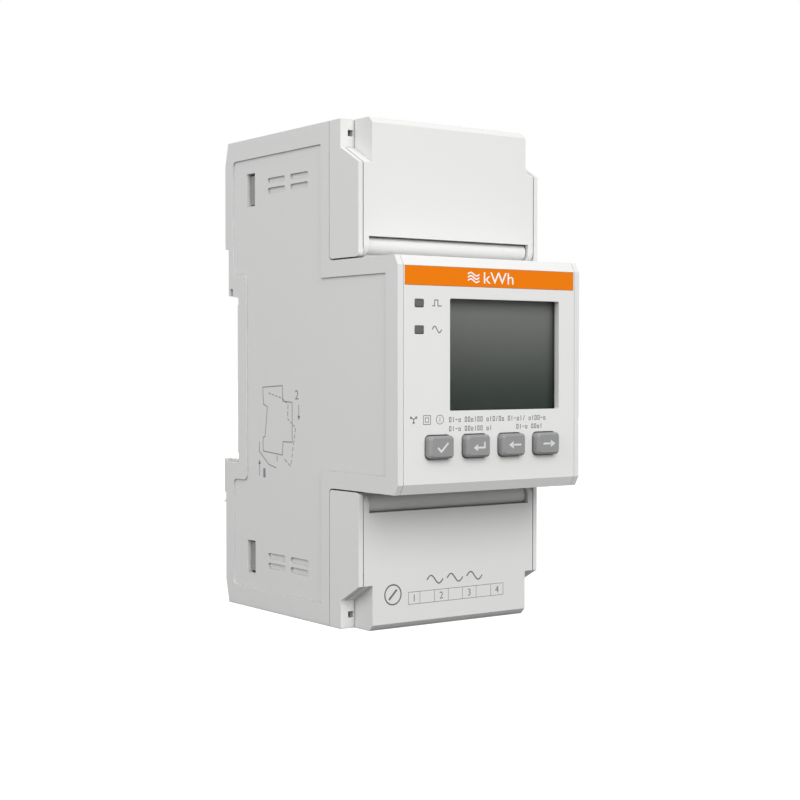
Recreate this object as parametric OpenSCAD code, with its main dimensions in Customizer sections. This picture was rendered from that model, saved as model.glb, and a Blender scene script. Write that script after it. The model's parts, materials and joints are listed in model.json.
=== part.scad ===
// Rail-mounted energy meter, 2.5 modules wide, with a display nose, four keys and hinged terminal covers.
// X is to the right, Y to the rear and Z up. The origin is on the rail seat, at mid width and mid height.
// "Depth" is always measured forward from the rail seat, so a point at depth d has y = -d.

/* [Casing] */
// Width of the casing
body_w = 45; // [44.5:0.5:60]
// Height of the casing, end to end
body_h = 100; // [96:1:130]
// Height of the nose that stands through a distribution board's cover
nose_h = 45; // [44:0.5:46]
// Depth of the nose's front face
nose_depth = 59.7; // [56:0.1:80]
// Depth of the terminal covers' front face
cover_depth = 46.7; // [45.5:0.1:52]
// How far the casing stands behind the rail seat
rear_proud = 5.3; // [5:0.1:6.5]
// Thickness of the side walls
side_wall = 1.6; // [1.4:0.1:2]
// Thickness of the end walls and the rear wall
end_wall = 1.6; // [1.4:0.1:2]
// Thickness of the front shell's walls
shell_wall = 1.3; // [1.2:0.1:1.6]
// Depth of the shallow field pressed into each side
field_sink = 0.35; // [0.2:0.05:0.5]

/* [Rail] */
// Height of the recess that takes a 35 mm rail
rail_recess_h = 35.7; // [35.4:0.1:36.5]
// Top of the recess above the casing's middle
rail_recess_top = 16.4; // [15:0.1:18]
// How far the fixed and sliding catches reach over the rail's edges
catch_grip = 1.3; // [1:0.1:1.8]
// Travel of the rail clip
clip_travel = 3.5; // [2:0.1:4]

/* [Terminal covers] */
// Rise of a cover above the terminal deck
cover_rise = 6.3; // [6:0.1:7]
// Thickness of a cover's walls
cover_wall = 1.1; // [0.9:0.1:1.3]
// Width of the corner cut out at each side of a cover
cover_corner_w = 3.25; // [3:0.05:4]
// Radius of the hinge pins
hinge_pin_r = 1; // [0.8:0.05:1.1]

/* [Terminals] */
// Spacing of the upper terminals
upper_pitch = 6.3; // [5.2:0.05:6.35]
// Radius of an upper terminal screw's shank
upper_screw_r = 1.45; // [1.2:0.05:1.5]
// Spacing of the lower terminals
lower_pitch = 9.4; // [7.5:0.1:9.5]
// Radius of a lower terminal screw's shank
lower_screw_r = 1.7; // [1.4:0.05:1.8]
// Travel of a clamp cage
cage_travel = 3; // [2:0.1:3]

/* [Display] */
// Width of the display opening
window_w = 27.4; // [20:0.1:28]
// Height of the display opening
window_h = 21.4; // [18:0.1:22]
// Middle of the display opening, right of the casing's middle
window_x = 3.4; // [0:0.1:4]
// Middle of the display opening, above the casing's middle
window_z = 3.85; // [3:0.05:5]
// Height of the title strip
strip_h = 3.6; // [3:0.1:4]
// Thickness of the title strip
strip_t = 0.2; // [0.1:0.05:0.4]

/* [Keys] */
// Width of a key
key_w = 5.8; // [4.5:0.1:7]
// Height of a key
key_h = 4.3; // [3.5:0.1:4.8]
// Spacing of the keys
key_pitch = 8.8; // [8:0.1:9.5]
// Height of the row of keys, below the casing's middle
key_drop = 13.65; // [13:0.05:14.5]
// How far a key stands proud of the nose
key_proud = 1.7; // [1:0.1:2]
// Travel of a key
key_travel = 0.5; // [0.2:0.05:0.6]

/* [Hidden] */
$fn = 48;

// Current terminals in the upper row and voltage terminals in the lower row, as the list above names them
upper_poles = 6;
lower_poles = 4;

// Clearances
seam_gap = 0.15;      // between the shells at a parting line
slide_gap = 0.2;      // around a piece that slides or swings
fit_gap = 0.05;       // around a pin, a screw or a pressed-in piece
eps = 0.5;            // how far a cut runs past a face

// Casing
half_w = body_w / 2;
half_h = body_h / 2;
nose_half = nose_h / 2;
inner_half_w = half_w - side_wall;
inner_half_h = half_h - end_wall;
corner_rise = 5;              // slope at the rear corners
corner_run = 1.3;
hook_step = 1.4;              // the casing is less deep just above the rail
hook_step_top = 27.1;
recess_top = rail_recess_top;
recess_bottom = rail_recess_top - rail_recess_h;
clip_rise = 0.7;              // rail clip above the recess's lower edge
clip_top = recess_bottom + clip_rise;
fixed_catch_low = recess_top - catch_grip - 0.1;
clip_catch_top = clip_top + catch_grip - 0.1;
seat_relief = 0.3;            // floor of the recess is lower behind the two catches
seat_top = fixed_catch_low - slide_gap;
seat_bottom = clip_catch_top + slide_gap;
rear_wall_depth = end_wall + 0.4;
deck_depth = cover_depth - cover_rise;
seam_depth = deck_depth - 4.1;
seam_corner_r = 1;
nose_edge_run = 1.1;          // bevel round the nose's front face
nose_edge_rise = 1.9;
nose_side_wall = 1.26;
shell_half_w = half_w - nose_side_wall - seam_gap / 2;
cheek_gap = 0.3;              // between the nose and the cheeks beside a cover
wire_slot_gap = 0.3;          // end wall's slot past the row of wire ways

// Shallow field on each side, set in from the outline
field_margin = 4.2;
field_seam_margin = 3.1;
field_nose_margin = 3.3;
field_rear = -2;              // its rear edge, beside the hooks
field_waist = 3.7;            // its rear edge beside the rail
field_step_r = 1.2;

// Snap windows in the sides, and the arms that latch in them
snap_depth = 5.2;
snap_len = 3.3;
snap_h = 7;
snap_in = 10.8;               // middle of a window, in from the casing's end
snap_sink = 1.2;              // latch below the side's surface
arm_t = 1.3;
arm_gap = 0.2;

// Grip slots pressed into the sides
slot_l = 7;
slot_h = 1.3;
slot_rows = 2.05;             // spacing of the two rows
slot_cols = 8.95;             // spacing of the two columns
slot_first = 15.6;            // depth of the first column's middle
slot_in = 9.6;                // first row, in from the casing's end
slot_sink = 0.8;

// Terminal covers
cover_mid_w = body_w - 2 * cover_corner_w;
hinge_in = 2.5;               // hinge line behind the cover's face, and above the nose
hinge_depth = cover_depth - hinge_in;
hinge_z = nose_half + hinge_in + cheek_gap;
hinge_web_foot = nose_half - 0.5;
barrel_r = 1.8;
barrel_half = cover_mid_w / 2 + 0.6;
ear_in = barrel_half + slide_gap;
cheek_wall = 1;
cover_half = half_w - cheek_wall - slide_gap;
lip_z = hinge_z + 1.55;
notch_z = half_h - 5.6;       // foot of the slope beside a cover's corner
notch_top_z = half_h - 9;     // top of that slope
cover_bevel = 1.2;
pin_len = 1.5;
seal_hole = 1.25;
seal_x = cover_mid_w / 2 + 0.25;
seal_in = 2.7;                // middle of a seal hole, in from the casing's end

// Rail clip
clip_half = inner_half_w + 0.2;
clip_plate_half = half_w - 0.3;
clip_plate_t = 1.1;
clip_plate_bottom = recess_bottom - 8.9;
clip_head_h = 4;
clip_front = 1.4;             // clip's front face, behind the rail seat
catch_half = 19;
catch_t = 2;
tongue_half = 7;
flange_half = 8.5;
tongue_t = 1.4;
flange_t = 1.2;
tongue_end = half_h - 4.5;
channel_floor = clip_front + 0.6;
spring_r = 1.1;
spring_wire_r = 0.22;
spring_turns = 7;
spring_top = -29;
spring_bottom = -38;
post_h = 2.5;
spring_window_half = 1.7;
driver_slot_w = 6;            // slot in the tongue for a screwdriver
driver_slot_h = 2;
driver_slot_in = 2;
plate_grip_sink = 1.2;        // grips in the plate's side edges
plate_grip_h = 1.7;
plate_grip_in = 0.5;

// Terminal stack, depths below the deck
deck_t = 1.5;
block_front = deck_depth - deck_t - 0.3;
block_tall = 18.9;
board_t = 1.6;
main_board_front = block_front - block_tall - fit_gap;
main_board_back = main_board_front - board_t;
head_seat = block_front - 0.7;
head_h = 1.6;
seat_t = 0.9;
cage_room_front = head_seat - seat_t;
cage_front = cage_room_front - slide_gap - cage_travel;
cage_nut_t = 1.2;
bar_front = cage_front - cage_nut_t - 0.4;
bar_t = 1.2;
bar_back = bar_front - bar_t;
wire_h = 4.6;
cage_floor_t = 0.7;
cage_back = bar_back - wire_h - cage_floor_t;
cage_l = 5.6;
pole_in = 7.4;                // screw line, in from the casing's end
pole_z = half_h - pole_in;
block_end_z = inner_half_h - slide_gap;
block_in_z = pole_z - 6.2;
tail_z = block_in_z + 1.5;
tail_w = 1;
cage_room_half_l = cage_l / 2 + slide_gap;
cage_wall = 0.6;
pole_wall = 0.6;              // wall of the block between two cages
tail_hole_r = 0.8;

// Middle of pole i in a row of terminals
function pole_x(i, poles, pitch) = (i - (poles - 1) / 2) * pitch;

// Half widths of a clamp cage, of a wire way and of a contact bar, and a screw head's radius
function cage_half(pitch) = (pitch - pole_wall) / 2;
function wire_half(pitch) = cage_half(pitch) - cage_wall;
function bar_half(pitch) = wire_half(pitch) - 0.2;
function head_r(screw_r) = screw_r + 0.6;

// Boards
board_half_w = inner_half_w - arm_t - arm_gap - 0.2;
supply_back = rear_wall_depth + 2;
supply_front = supply_back + board_t;
supply_half_h = 30;
seat_half_h = 22;             // length of the seats at the main board's sides, halved
post_r = 2;                   // posts under the supply board
post_in = 3;
header_pins = 5;              // pins in each row of a header
pin_pitch = 2.54;
pin_half = 0.3;
pin_strip_t = 2.6;
supply_header_z = supply_half_h - 4.5;
display_header_z = -14;

// Parts on the supply board
core_half_w = 8;              // transformer core, across
core_t = 11.5;
core_z = [-18, -4];
core_slot = [2.4, 5.2];       // gaps of the core that hold the winding
core_slot_t = 9;
winding_half_w = 5.1;
winding_over = 2.5;           // winding past the core's two ends
can_r = 4;                    // capacitors
can_t = 10.5;
can_pitch = 9.5;
can_z = 7;
crimp_r = 0.45;
crimp_up = 1.6;
disc_r = 4.6;                 // surge arresters
disc_t = 3.2;
disc_pitch = 6.6;
disc_z = 17;

// Parts on the main board
ring_pitch = 12.4;            // current transformers
ring_half_w = 5.6;
ring_half_h = 6;
ring_t = 13;
ring_z = 5;
ring_bore_r = 2.2;
ring_floor = 4;

// Display stack, depths
panel_back = nose_depth - shell_wall;
lens_t = 1;
lens_back = panel_back - lens_t - fit_gap;
glass_t = 2.6;
glass_back = lens_back - glass_t - fit_gap;
light_t = 2.4;
light_back = glass_back - light_t - fit_gap;
display_front = light_back - 0.15;
display_back = display_front - board_t;
lens_lap = 1.8;               // how far the lens reaches past the opening
lens_w = window_w + 2 * lens_lap;
lens_h = window_h + 2 * lens_lap;
frame_wall = 1;
glass_w = lens_w - 2 * frame_wall - 2 * fit_gap;
glass_h = lens_h - 2 * frame_wall - 2 * fit_gap;
contact_room = 2.6;           // strip below the backlight that the contact strip stands in
contact_h = 1.9;
contact_in = 0.3;
display_half_w = half_w - nose_side_wall - 1.8;
display_half_h = nose_half - shell_wall - 0.8;
strip_top = nose_half - nose_edge_rise - 0.1;
strip_half_w = shell_half_w - 0.3;
chip_half = 5;                // metering controller, behind the display board
chip_t = 1.5;
chip_z = 7;
cell_r = 5;                   // backup cell
cell_t = 3.2;
cell_x = 11;
cell_z = -4;

// Indicators
pipe_w = 2.1;
pipe_h = 1.55;
pipe_x = 4.95 - half_w;
pulse_z = 13.5;
status_z = 8.5;
pipe_flange = 0.5;
led_half_w = 0.8;
led_half_h = 0.6;
led_front = display_front + 1;

// Keys
key_r = 0.8;
key_flange = 0.55;
key_flange_t = 0.8;
switch_size = 4.5;
switch_h = 3.3;
plunger_r = 1;
plunger_h = 0.7;
switch_top = display_front + switch_h + plunger_h;
stem_r = 1.3;
key_edge = 0.4;               // bevel round a key's face

// Middle of key i, counted from the left
function key_x(i) = (i - 1.5) * key_pitch;

// Screws that hold the display board
boss_r = 1.8;
boss_z = nose_half - 3.4;
boss_x = half_w - 5.3;
board_screw_r = 0.8;
board_screw_head_r = 1.6;
board_screw_head_t = 1.2;

// ---- shapes used by several parts ----

// Points of an arc about (c[0], c[1]), from angle a to angle b
function arc(c, r, a, b, n = 6) =
    [for (i = [0:n]) [c[0] + r * cos(a + (b - a) * i / n), c[1] + r * sin(a + (b - a) * i / n)]];

// A box given by its limits across, in depth and in height
module slab(across, depth, up) {
    translate([across[0], -depth[1], up[0]])
        cube([across[1] - across[0], depth[1] - depth[0], up[1] - up[0]]);
}

// An outline in depth and height, drawn across the width
module section(across) {
    translate([across[0], 0, 0])
        rotate([90, 0, 90])
            linear_extrude(across[1] - across[0])
                mirror([1, 0])
                    children();
}

// An outline in width and height, drawn through a stretch of depth
module face(depth) {
    translate([0, -depth[0], 0])
        rotate([90, 0, 0])
            linear_extrude(depth[1] - depth[0])
                children();
}

// A round bar or hole along the depth
module rod_y(x, z, r, depth) {
    translate([x, -depth[0], z])
        rotate([90, 0, 0])
            cylinder(r = r, h = depth[1] - depth[0]);
}

// A round bar or hole across the width
module rod_x(depth, z, r, across) {
    translate([across[0], -depth, z])
        rotate([0, 90, 0])
            cylinder(r = r, h = across[1] - across[0]);
}

// A rectangle with round corners, about a middle point
module round_rect(w, h, r) {
    polygon(concat(
        arc([w / 2 - r, h / 2 - r], r, 0, 90), arc([r - w / 2, h / 2 - r], r, 90, 180),
        arc([r - w / 2, r - h / 2], r, 180, 270), arc([w / 2 - r, r - h / 2], r, 270, 360)));
}

// Two crossed slots in a screw head, cut from its front face inwards
module cross_slot(x, z, top, l, t, w) {
    for (turn = [0, 90])
        translate([x, -top, z])
            rotate([0, turn, 0])
                cube([l, 2 * t, w], center = true);
}

// The same shape on the left and on the right
module both_sides() {
    children();
    mirror([1, 0, 0]) children();
}

// The same shape at the upper and at the lower end
module both_ends() {
    children();
    mirror([0, 0, 1]) children();
}

// ---- casing ----

// Side view of the casing, with the nose and the recess for the rail
module casing_outline() {
    corner = seam_corner_r;
    front_upper = concat(
        [[corner_run - rear_proud, half_h], [seam_depth, half_h]],
        arc([seam_depth + corner, nose_half + corner], corner, 180, 270),
        [[nose_depth - nose_edge_run, nose_half], [nose_depth, nose_half - nose_edge_rise]]);
    front_lower = [for (i = [len(front_upper) - 1:-1:0]) [front_upper[i][0], -front_upper[i][1]]];
    rear = [
        [-rear_proud, corner_rise - half_h], [-rear_proud, recess_bottom],
        [seat_relief, recess_bottom], [seat_relief, seat_bottom], [0, seat_bottom], [0, seat_top],
        [seat_relief, seat_top], [seat_relief, recess_top],
        [hook_step - rear_proud, recess_top + 0.5],
        [hook_step - rear_proud, hook_step_top], [-rear_proud, hook_step_top],
        [-rear_proud, half_h - corner_rise]];
    polygon(concat(front_upper, front_lower, rear));
}

// Side view of the shallow field, whose rear edge steps round the rail
module field_outline() {
    end_z = half_h - field_margin;
    nose_z = nose_half - field_nose_margin;
    front = seam_depth - field_seam_margin;
    r = field_step_r;
    waist_top = recess_top + 4.8;
    waist_bottom = recess_bottom - 3.5;
    polygon(concat(
        arc([field_rear + r, end_z - r], r, 180, 90),
        [[front, end_z], [front, nose_z], [nose_depth - 4, nose_z], [nose_depth - 4, -nose_z],
         [front, -nose_z], [front, -end_z]],
        arc([field_rear + r, r - end_z], r, 270, 180),
        arc([field_rear + r, waist_bottom - r], r, 180, 90),
        arc([field_waist - r, waist_bottom + r], r, 270, 360),
        arc([field_waist - r, waist_top - r], r, 0, 90),
        arc([field_rear + r, waist_top + r], r, 270, 180)));
}

// A window in the side at one end
module snap_window(across) {
    slab(across, [snap_depth - snap_len / 2, snap_depth + snap_len / 2],
         [half_h - snap_in - snap_h / 2, half_h - snap_in + snap_h / 2]);
}

// Two rows of two grip slots near one end of a side
module grip_slots() {
    for (row = [0:1], col = [0:1])
        translate([0, 0, half_h - slot_in - row * slot_rows])
            section([half_w - slot_sink, half_w + eps])
                translate([slot_first + col * slot_cols, 0])
                    round_rect(slot_l, slot_h, 0.5);
}

// Slot through an end wall, by which a row's wires enter
module wire_slot(poles, pitch) {
    half = pole_x(poles - 1, poles, pitch) + wire_half(pitch) + wire_slot_gap;
    slab([-half, half], [bar_back - wire_h - wire_slot_gap, bar_back + wire_slot_gap],
         [inner_half_h - eps, half_h + eps]);
}

// The channel behind the casing in which the rail clip slides
module clip_channel() {
    bottom = -half_h - eps;
    top = recess_bottom - 1;
    slab([-flange_half - slide_gap, flange_half + slide_gap],
         [-channel_floor - flange_t - slide_gap, -channel_floor], [bottom, top]);
    slab([-tongue_half - slide_gap, tongue_half + slide_gap],
         [-rear_proud - eps, -channel_floor - flange_t], [bottom, top]);
    slab([-inner_half_w - 0.4, inner_half_w + 0.4], [-rear_proud - eps, slide_gap - clip_front],
         [recess_bottom + clip_rise - clip_head_h - clip_travel - 0.3, recess_bottom + eps]);
}

// Rear shell, with the sides of the nose
module base_housing() {
    color("#c9c9c7")
    difference() {
        section([-half_w, half_w]) casing_outline();
        // room inside, and inside the nose
        slab([-inner_half_w, inner_half_w], [rear_wall_depth, nose_depth + eps],
             [-inner_half_h, inner_half_h]);
        slab([nose_side_wall - half_w, half_w - nose_side_wall], [seam_depth, nose_depth + eps],
             [-half_h, half_h]);
        // hollows behind, beside the rail
        slab([-inner_half_w, inner_half_w], [end_wall - rear_proud, rear_wall_depth + eps],
             [hook_step_top + end_wall, inner_half_h - 1.5]);
        both_sides()
            slab([flange_half + 2, inner_half_w], [end_wall - rear_proud, rear_wall_depth + eps],
                 [1.5 - inner_half_h, recess_bottom - clip_head_h - clip_travel - 2]);
        // undercut of the fixed hook
        slab([-half_w - eps, half_w + eps], [-3.3, -2.1], [recess_top - eps, recess_top + 2]);
        clip_channel();
        both_sides() {
            section([half_w - field_sink, half_w + eps]) field_outline();
            both_ends() {
                snap_window([inner_half_w - eps, half_w + eps]);
                grip_slots();
            }
        }
        wire_slot(upper_poles, upper_pitch);
        mirror([0, 0, 1]) wire_slot(lower_poles, lower_pitch);
    }
    color("#c9c9c7") {
        // fixed catch over the rail's upper edge
        section([-catch_half, catch_half])
            polygon([[hook_step - rear_proud, recess_top + 1], [-1.3, recess_top + 1],
                     [-1.3, fixed_catch_low], [-2.2, fixed_catch_low],
                     [hook_step - rear_proud, recess_top]]);
        // post that the clip's spring pushes against
        slab([slide_gap - spring_window_half, spring_window_half - slide_gap],
             [-channel_floor - flange_t - tongue_t + 0.4, -channel_floor + fit_gap],
             [spring_bottom - post_h, spring_bottom]);
        // seats for the boards
        both_sides() {
            slab([board_half_w - 1, inner_half_w + 0.1], [main_board_back - 2, main_board_back],
                 [-seat_half_h, seat_half_h]);
            both_ends()
                rod_y(board_half_w - post_in, supply_half_h - post_in, post_r,
                      [rear_wall_depth - 0.1, supply_back]);
        }
    }
}

// Side view of a cheek beside a terminal cover
module cheek_outline() {
    bottom = nose_half + cheek_gap;
    r = seam_corner_r - seam_gap;
    polygon(concat(
        arc([seam_depth + seam_gap + r, bottom + r], r, 180, 270),
        arc([cover_depth - 1, bottom + 1], 1, 270, 360),
        [[cover_depth, notch_top_z], [deck_depth, notch_z], [deck_depth, half_h],
         [seam_depth + seam_gap, half_h]]));
}

// Terminal deck, cheeks and hinge barrel at the upper end
module terminal_deck(poles, pitch, screw_head) {
    difference() {
        union() {
            both_sides() section([half_w - cheek_wall, half_w]) cheek_outline();
            slab([0.1 - half_w, half_w - 0.1], [deck_depth - deck_t, deck_depth],
                 [nose_half + cheek_gap, half_h - 0.1]);
            slab([-shell_half_w, shell_half_w], [deck_depth - deck_t, deck_depth],
                 [nose_half - shell_wall, nose_half + cheek_gap + 0.1]);
            slab([-half_w, half_w], [seam_depth + seam_gap, deck_depth],
                 [half_h - end_wall, half_h]);
            // web and barrel of the hinge
            slab([-barrel_half, barrel_half], [deck_depth - deck_t, hinge_depth],
                 [hinge_web_foot, hinge_z + barrel_r]);
            rod_x(hinge_depth, hinge_z, barrel_r, [-barrel_half, barrel_half]);
        }
        both_sides() {
            rod_x(hinge_depth, hinge_z, hinge_pin_r + fit_gap,
                  [barrel_half - pin_len - slide_gap, barrel_half + eps]);
            // hole for a sealing wire
            slab([seal_x, seal_x + seal_hole],
                 [deck_depth - deck_t - eps, deck_depth + eps],
                 [half_h - seal_in - seal_hole / 2, half_h - seal_in + seal_hole / 2]);
        }
        for (i = [0:poles - 1])
            rod_y(pole_x(i, poles, pitch), pole_z, screw_head + 0.3,
                  [deck_depth - deck_t - eps, deck_depth + eps]);
    }
}

// Arm that reaches back inside a side wall and latches in its window
module snap_arm() {
    up = [half_h - snap_in - snap_h / 2 + 0.4, half_h - snap_in + snap_h / 2 - 0.4];
    latch = [snap_depth - snap_len / 2 + slide_gap, snap_depth + snap_len / 2 - slide_gap];
    outer = inner_half_w - arm_gap;
    slab([outer - arm_t, outer], [latch[0], deck_depth - deck_t + 0.1], up);
    slab([outer - 0.1, half_w - snap_sink], latch, up);
}

// Front shell: nose, terminal decks and cheeks
module front_shell() {
    color("#ececea")
    difference() {
        union() {
            section([-shell_half_w, shell_half_w]) nose_outline();
            terminal_deck(upper_poles, upper_pitch, head_r(upper_screw_r));
            mirror([0, 0, 1]) terminal_deck(lower_poles, lower_pitch, head_r(lower_screw_r));
            both_sides() both_ends() snap_arm();
        }
        // room inside the nose
        slab([shell_wall - shell_half_w, shell_half_w - shell_wall],
             [deck_depth - deck_t - eps, panel_back],
             [shell_wall - nose_half, nose_half - shell_wall]);
        // display opening
        translate([window_x, 0, window_z])
            face([panel_back - eps, nose_depth + eps]) round_rect(window_w, window_h, 0.3);
        // indicator holes
        for (z = [pulse_z, status_z])
            translate([pipe_x, 0, z])
                face([panel_back - eps, nose_depth + eps])
                    round_rect(pipe_w + 0.1, pipe_h + 0.1, 0.3);
        // key holes
        for (i = [0:3])
            translate([key_x(i), 0, -key_drop])
                face([panel_back - eps, nose_depth + eps])
                    round_rect(key_w + 2 * slide_gap, key_h + 2 * slide_gap, key_r + slide_gap);
        // bed of the title strip
        slab([-strip_half_w - fit_gap, strip_half_w + fit_gap],
             [nose_depth - strip_t, nose_depth + eps],
             [strip_top - strip_h - fit_gap, strip_top + fit_gap]);
    }
    // bosses for the display board
    color("#ececea")
    both_sides() both_ends()
        difference() {
            rod_y(boss_x, boss_z, boss_r, [display_front + fit_gap, panel_back + 0.1]);
            rod_y(boss_x, boss_z, board_screw_r + fit_gap, [display_front - eps, panel_back - 0.6]);
        }
}

// Side view of the nose, with its front edges bevelled
module nose_outline() {
    back = deck_depth - deck_t;
    polygon([
        [back, nose_half], [nose_depth - nose_edge_run, nose_half],
        [nose_depth, nose_half - nose_edge_rise], [nose_depth, nose_edge_rise - nose_half],
        [nose_depth - nose_edge_run, -nose_half], [back, -nose_half]]);
}

// ---- terminal covers ----

// Side view of a cover beside its corners, where its end slopes back. An inset draws the hollow inside,
// and its sloped edge moves by less than the inset along each axis.
module cover_side_outline(inset) {
    polygon([
        [deck_depth + slide_gap - 2 * inset, lip_z - 2 * inset],
        [cover_depth - inset, lip_z - 2 * inset],
        [cover_depth - inset, notch_top_z - 0.6 * inset],
        [deck_depth + slide_gap - 2 * inset, notch_z - 0.1 * inset]]);
}

// Side view of a cover's middle, which runs to the casing's end
module cover_mid_outline(inset) {
    polygon([
        [deck_depth + slide_gap - 2 * inset, lip_z - 2 * inset],
        [cover_depth - inset, lip_z - 2 * inset],
        [cover_depth - inset, half_h - cover_bevel - 0.4 * inset],
        [cover_depth - cover_bevel - 0.4 * inset, half_h - inset],
        [deck_depth + slide_gap - 2 * inset, half_h - inset]]);
}

// Hinged cover over a row of terminals, at the upper end
module terminal_cover() {
    mid = cover_mid_w / 2;
    difference() {
        union() {
            section([-mid, mid]) cover_mid_outline(0);
            section([-cover_half, cover_half]) cover_side_outline(0);
            both_sides() {
                rod_x(hinge_depth, hinge_z, hinge_in, [ear_in, cover_half]);
                slab([ear_in, cover_half], [hinge_depth, cover_depth], [hinge_z, lip_z + 1]);
            }
        }
        section([cover_wall - mid, mid - cover_wall]) cover_mid_outline(cover_wall);
        section([cover_wall - cover_half, cover_half - cover_wall]) cover_side_outline(cover_wall);
        // room for the barrel's web between the ears
        slab([-ear_in, ear_in], [deck_depth, hinge_depth + 1],
             [lip_z - 1, hinge_z + barrel_r + slide_gap + 0.3]);
    }
    both_sides() rod_x(hinge_depth, hinge_z, hinge_pin_r, [barrel_half - pin_len, ear_in + 0.1]);
}

module terminal_cover_upper() {
    color("#ececea") terminal_cover();
}

module terminal_cover_lower() {
    color("#dededc") mirror([0, 0, 1]) terminal_cover();
}

// ---- rail clip ----

module rail_clip() {
    flange_back = -channel_floor - fit_gap;
    color("#e6e6e4")
    difference() {
        union() {
            // head in the recess's lower edge, and the plate behind the casing
            slab([slide_gap - clip_half, clip_half - slide_gap],
                 [-rear_proud - slide_gap - 0.1, -clip_front], [clip_top - clip_head_h, clip_top]);
            slab([-clip_plate_half, clip_plate_half],
                 [-rear_proud - slide_gap - clip_plate_t, -rear_proud - slide_gap],
                 [clip_plate_bottom, clip_top]);
            // catch over the rail's lower edge
            section([-catch_half, catch_half])
                polygon([[-clip_front, clip_top - 0.1], [-clip_front, clip_catch_top],
                         [-clip_front - 0.6, clip_catch_top],
                         [-clip_front - catch_t - 1, clip_top - 0.1]]);
            // tongue and the flanges that keep it in its channel
            slab([-tongue_half, tongue_half],
                 [-rear_proud - slide_gap, flange_back - 0.1],
                 [clip_plate_bottom, clip_top - clip_head_h + 0.1]);
            slab([-tongue_half, tongue_half],
                 [flange_back - flange_t - tongue_t, flange_back - 0.1],
                 [-tongue_end, clip_plate_bottom + 0.1]);
            slab([-flange_half, flange_half], [flange_back - flange_t + slide_gap, flange_back],
                 [-tongue_end, clip_plate_bottom + 2]);
        }
        // window for the spring
        slab([-spring_window_half, spring_window_half], [-rear_proud - 2, 0],
             [spring_bottom - post_h - 1.5, spring_top]);
        // slot for a screwdriver
        slab([-driver_slot_w / 2, driver_slot_w / 2], [-rear_proud - eps, 0],
             [driver_slot_in - tongue_end, driver_slot_in + driver_slot_h - tongue_end]);
        // sunk grips in the ends of the plate
        both_sides()
            slab([clip_plate_half - plate_grip_sink, clip_plate_half + eps],
                 [-rear_proud - 2, -rear_proud - slide_gap - 0.3],
                 [clip_plate_bottom + plate_grip_in, clip_plate_bottom + plate_grip_in + plate_grip_h]);
    }
}

// A round wire wound about the Z axis, with eight sides
module coil(r, wire_r, turns, bottom, top) {
    steps = 16 * turns;
    sides = 8;
    rise = (top - bottom - 2 * wire_r) / steps;
    ring = [for (i = [0:steps], k = [0:sides - 1])
        let (a = 22.5 * i, t = 360 * k / sides, q = r + wire_r * cos(t))
        [q * cos(a), q * sin(a), bottom + wire_r + rise * i + wire_r * sin(t)]];
    skin = [for (i = [0:steps - 1], k = [0:sides - 1])
        [i * sides + k, i * sides + (k + 1) % sides, (i + 1) * sides + (k + 1) % sides,
         (i + 1) * sides + k]];
    ends = [[for (k = [sides - 1:-1:0]) k], [for (k = [0:sides - 1]) steps * sides + k]];
    polyhedron(ring, concat(skin, ends));
}

module clip_spring() {
    color("#b9bcc0")
    translate([0, channel_floor + fit_gap + spring_r + spring_wire_r, 0])
        coil(spring_r, spring_wire_r, spring_turns, spring_bottom + fit_gap, spring_top - fit_gap);
}

// ---- terminals ----

// Insulating block with a room for each clamp cage, at the upper end
module terminal_block(poles, pitch, screw_r) {
    half = poles * pitch / 2;
    cage = cage_half(pitch) + 0.1;
    difference() {
        slab([-half, half], [block_front - block_tall, block_front], [block_in_z, block_end_z]);
        for (i = [0:poles - 1])
            translate([pole_x(i, poles, pitch), 0, 0]) {
                // room in which the cage rises
                slab([-cage, cage], [cage_back - slide_gap, cage_room_front],
                     [pole_z - cage_room_half_l, pole_z + cage_room_half_l]);
                // way in for the wire
                slab([-wire_half(pitch), wire_half(pitch)], [bar_back - wire_h, bar_back],
                     [pole_z, block_end_z + eps]);
                // seat and hole of the screw
                rod_y(0, pole_z, head_r(screw_r) + 0.1, [head_seat, block_front + eps]);
                rod_y(0, pole_z, screw_r + fit_gap, [cage_room_front - eps, head_seat + eps]);
                // bed of the contact bar and its tail
                slab([-bar_half(pitch) - fit_gap, bar_half(pitch) + fit_gap],
                     [bar_back - fit_gap, bar_front + fit_gap], [tail_z - 1, pole_z]);
                slab([-tail_w / 2 - fit_gap, tail_w / 2 + fit_gap],
                     [block_front - block_tall - eps, bar_back],
                     [tail_z - tail_w / 2 - fit_gap, tail_z + tail_w / 2 + fit_gap]);
            }
    }
}

// Contact bars with their solder tails
module contact_bars(poles, pitch) {
    for (i = [0:poles - 1])
        translate([pole_x(i, poles, pitch), 0, 0]) {
            slab([-bar_half(pitch), bar_half(pitch)], [bar_back, bar_front],
                 [tail_z - 1 + fit_gap, pole_z + cage_l / 2]);
            slab([-tail_w / 2, tail_w / 2], [main_board_back - 1.2, bar_back + 0.1],
                 [tail_z - tail_w / 2, tail_z + tail_w / 2]);
        }
}

// One clamp cage, threaded in front, at the upper end
module clamp_cage(x, pitch, screw_r) {
    half = cage_half(pitch);
    translate([x, 0, 0])
        difference() {
            slab([-half, half], [cage_back, cage_front], [pole_z - cage_l / 2, pole_z + cage_l / 2]);
            slab([-wire_half(pitch), wire_half(pitch)],
                 [cage_back + cage_floor_t, cage_front - cage_nut_t],
                 [pole_z - cage_l, pole_z + cage_l]);
            rod_y(0, pole_z, screw_r + fit_gap, [cage_front - cage_nut_t - eps, cage_front + eps]);
        }
}

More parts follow.
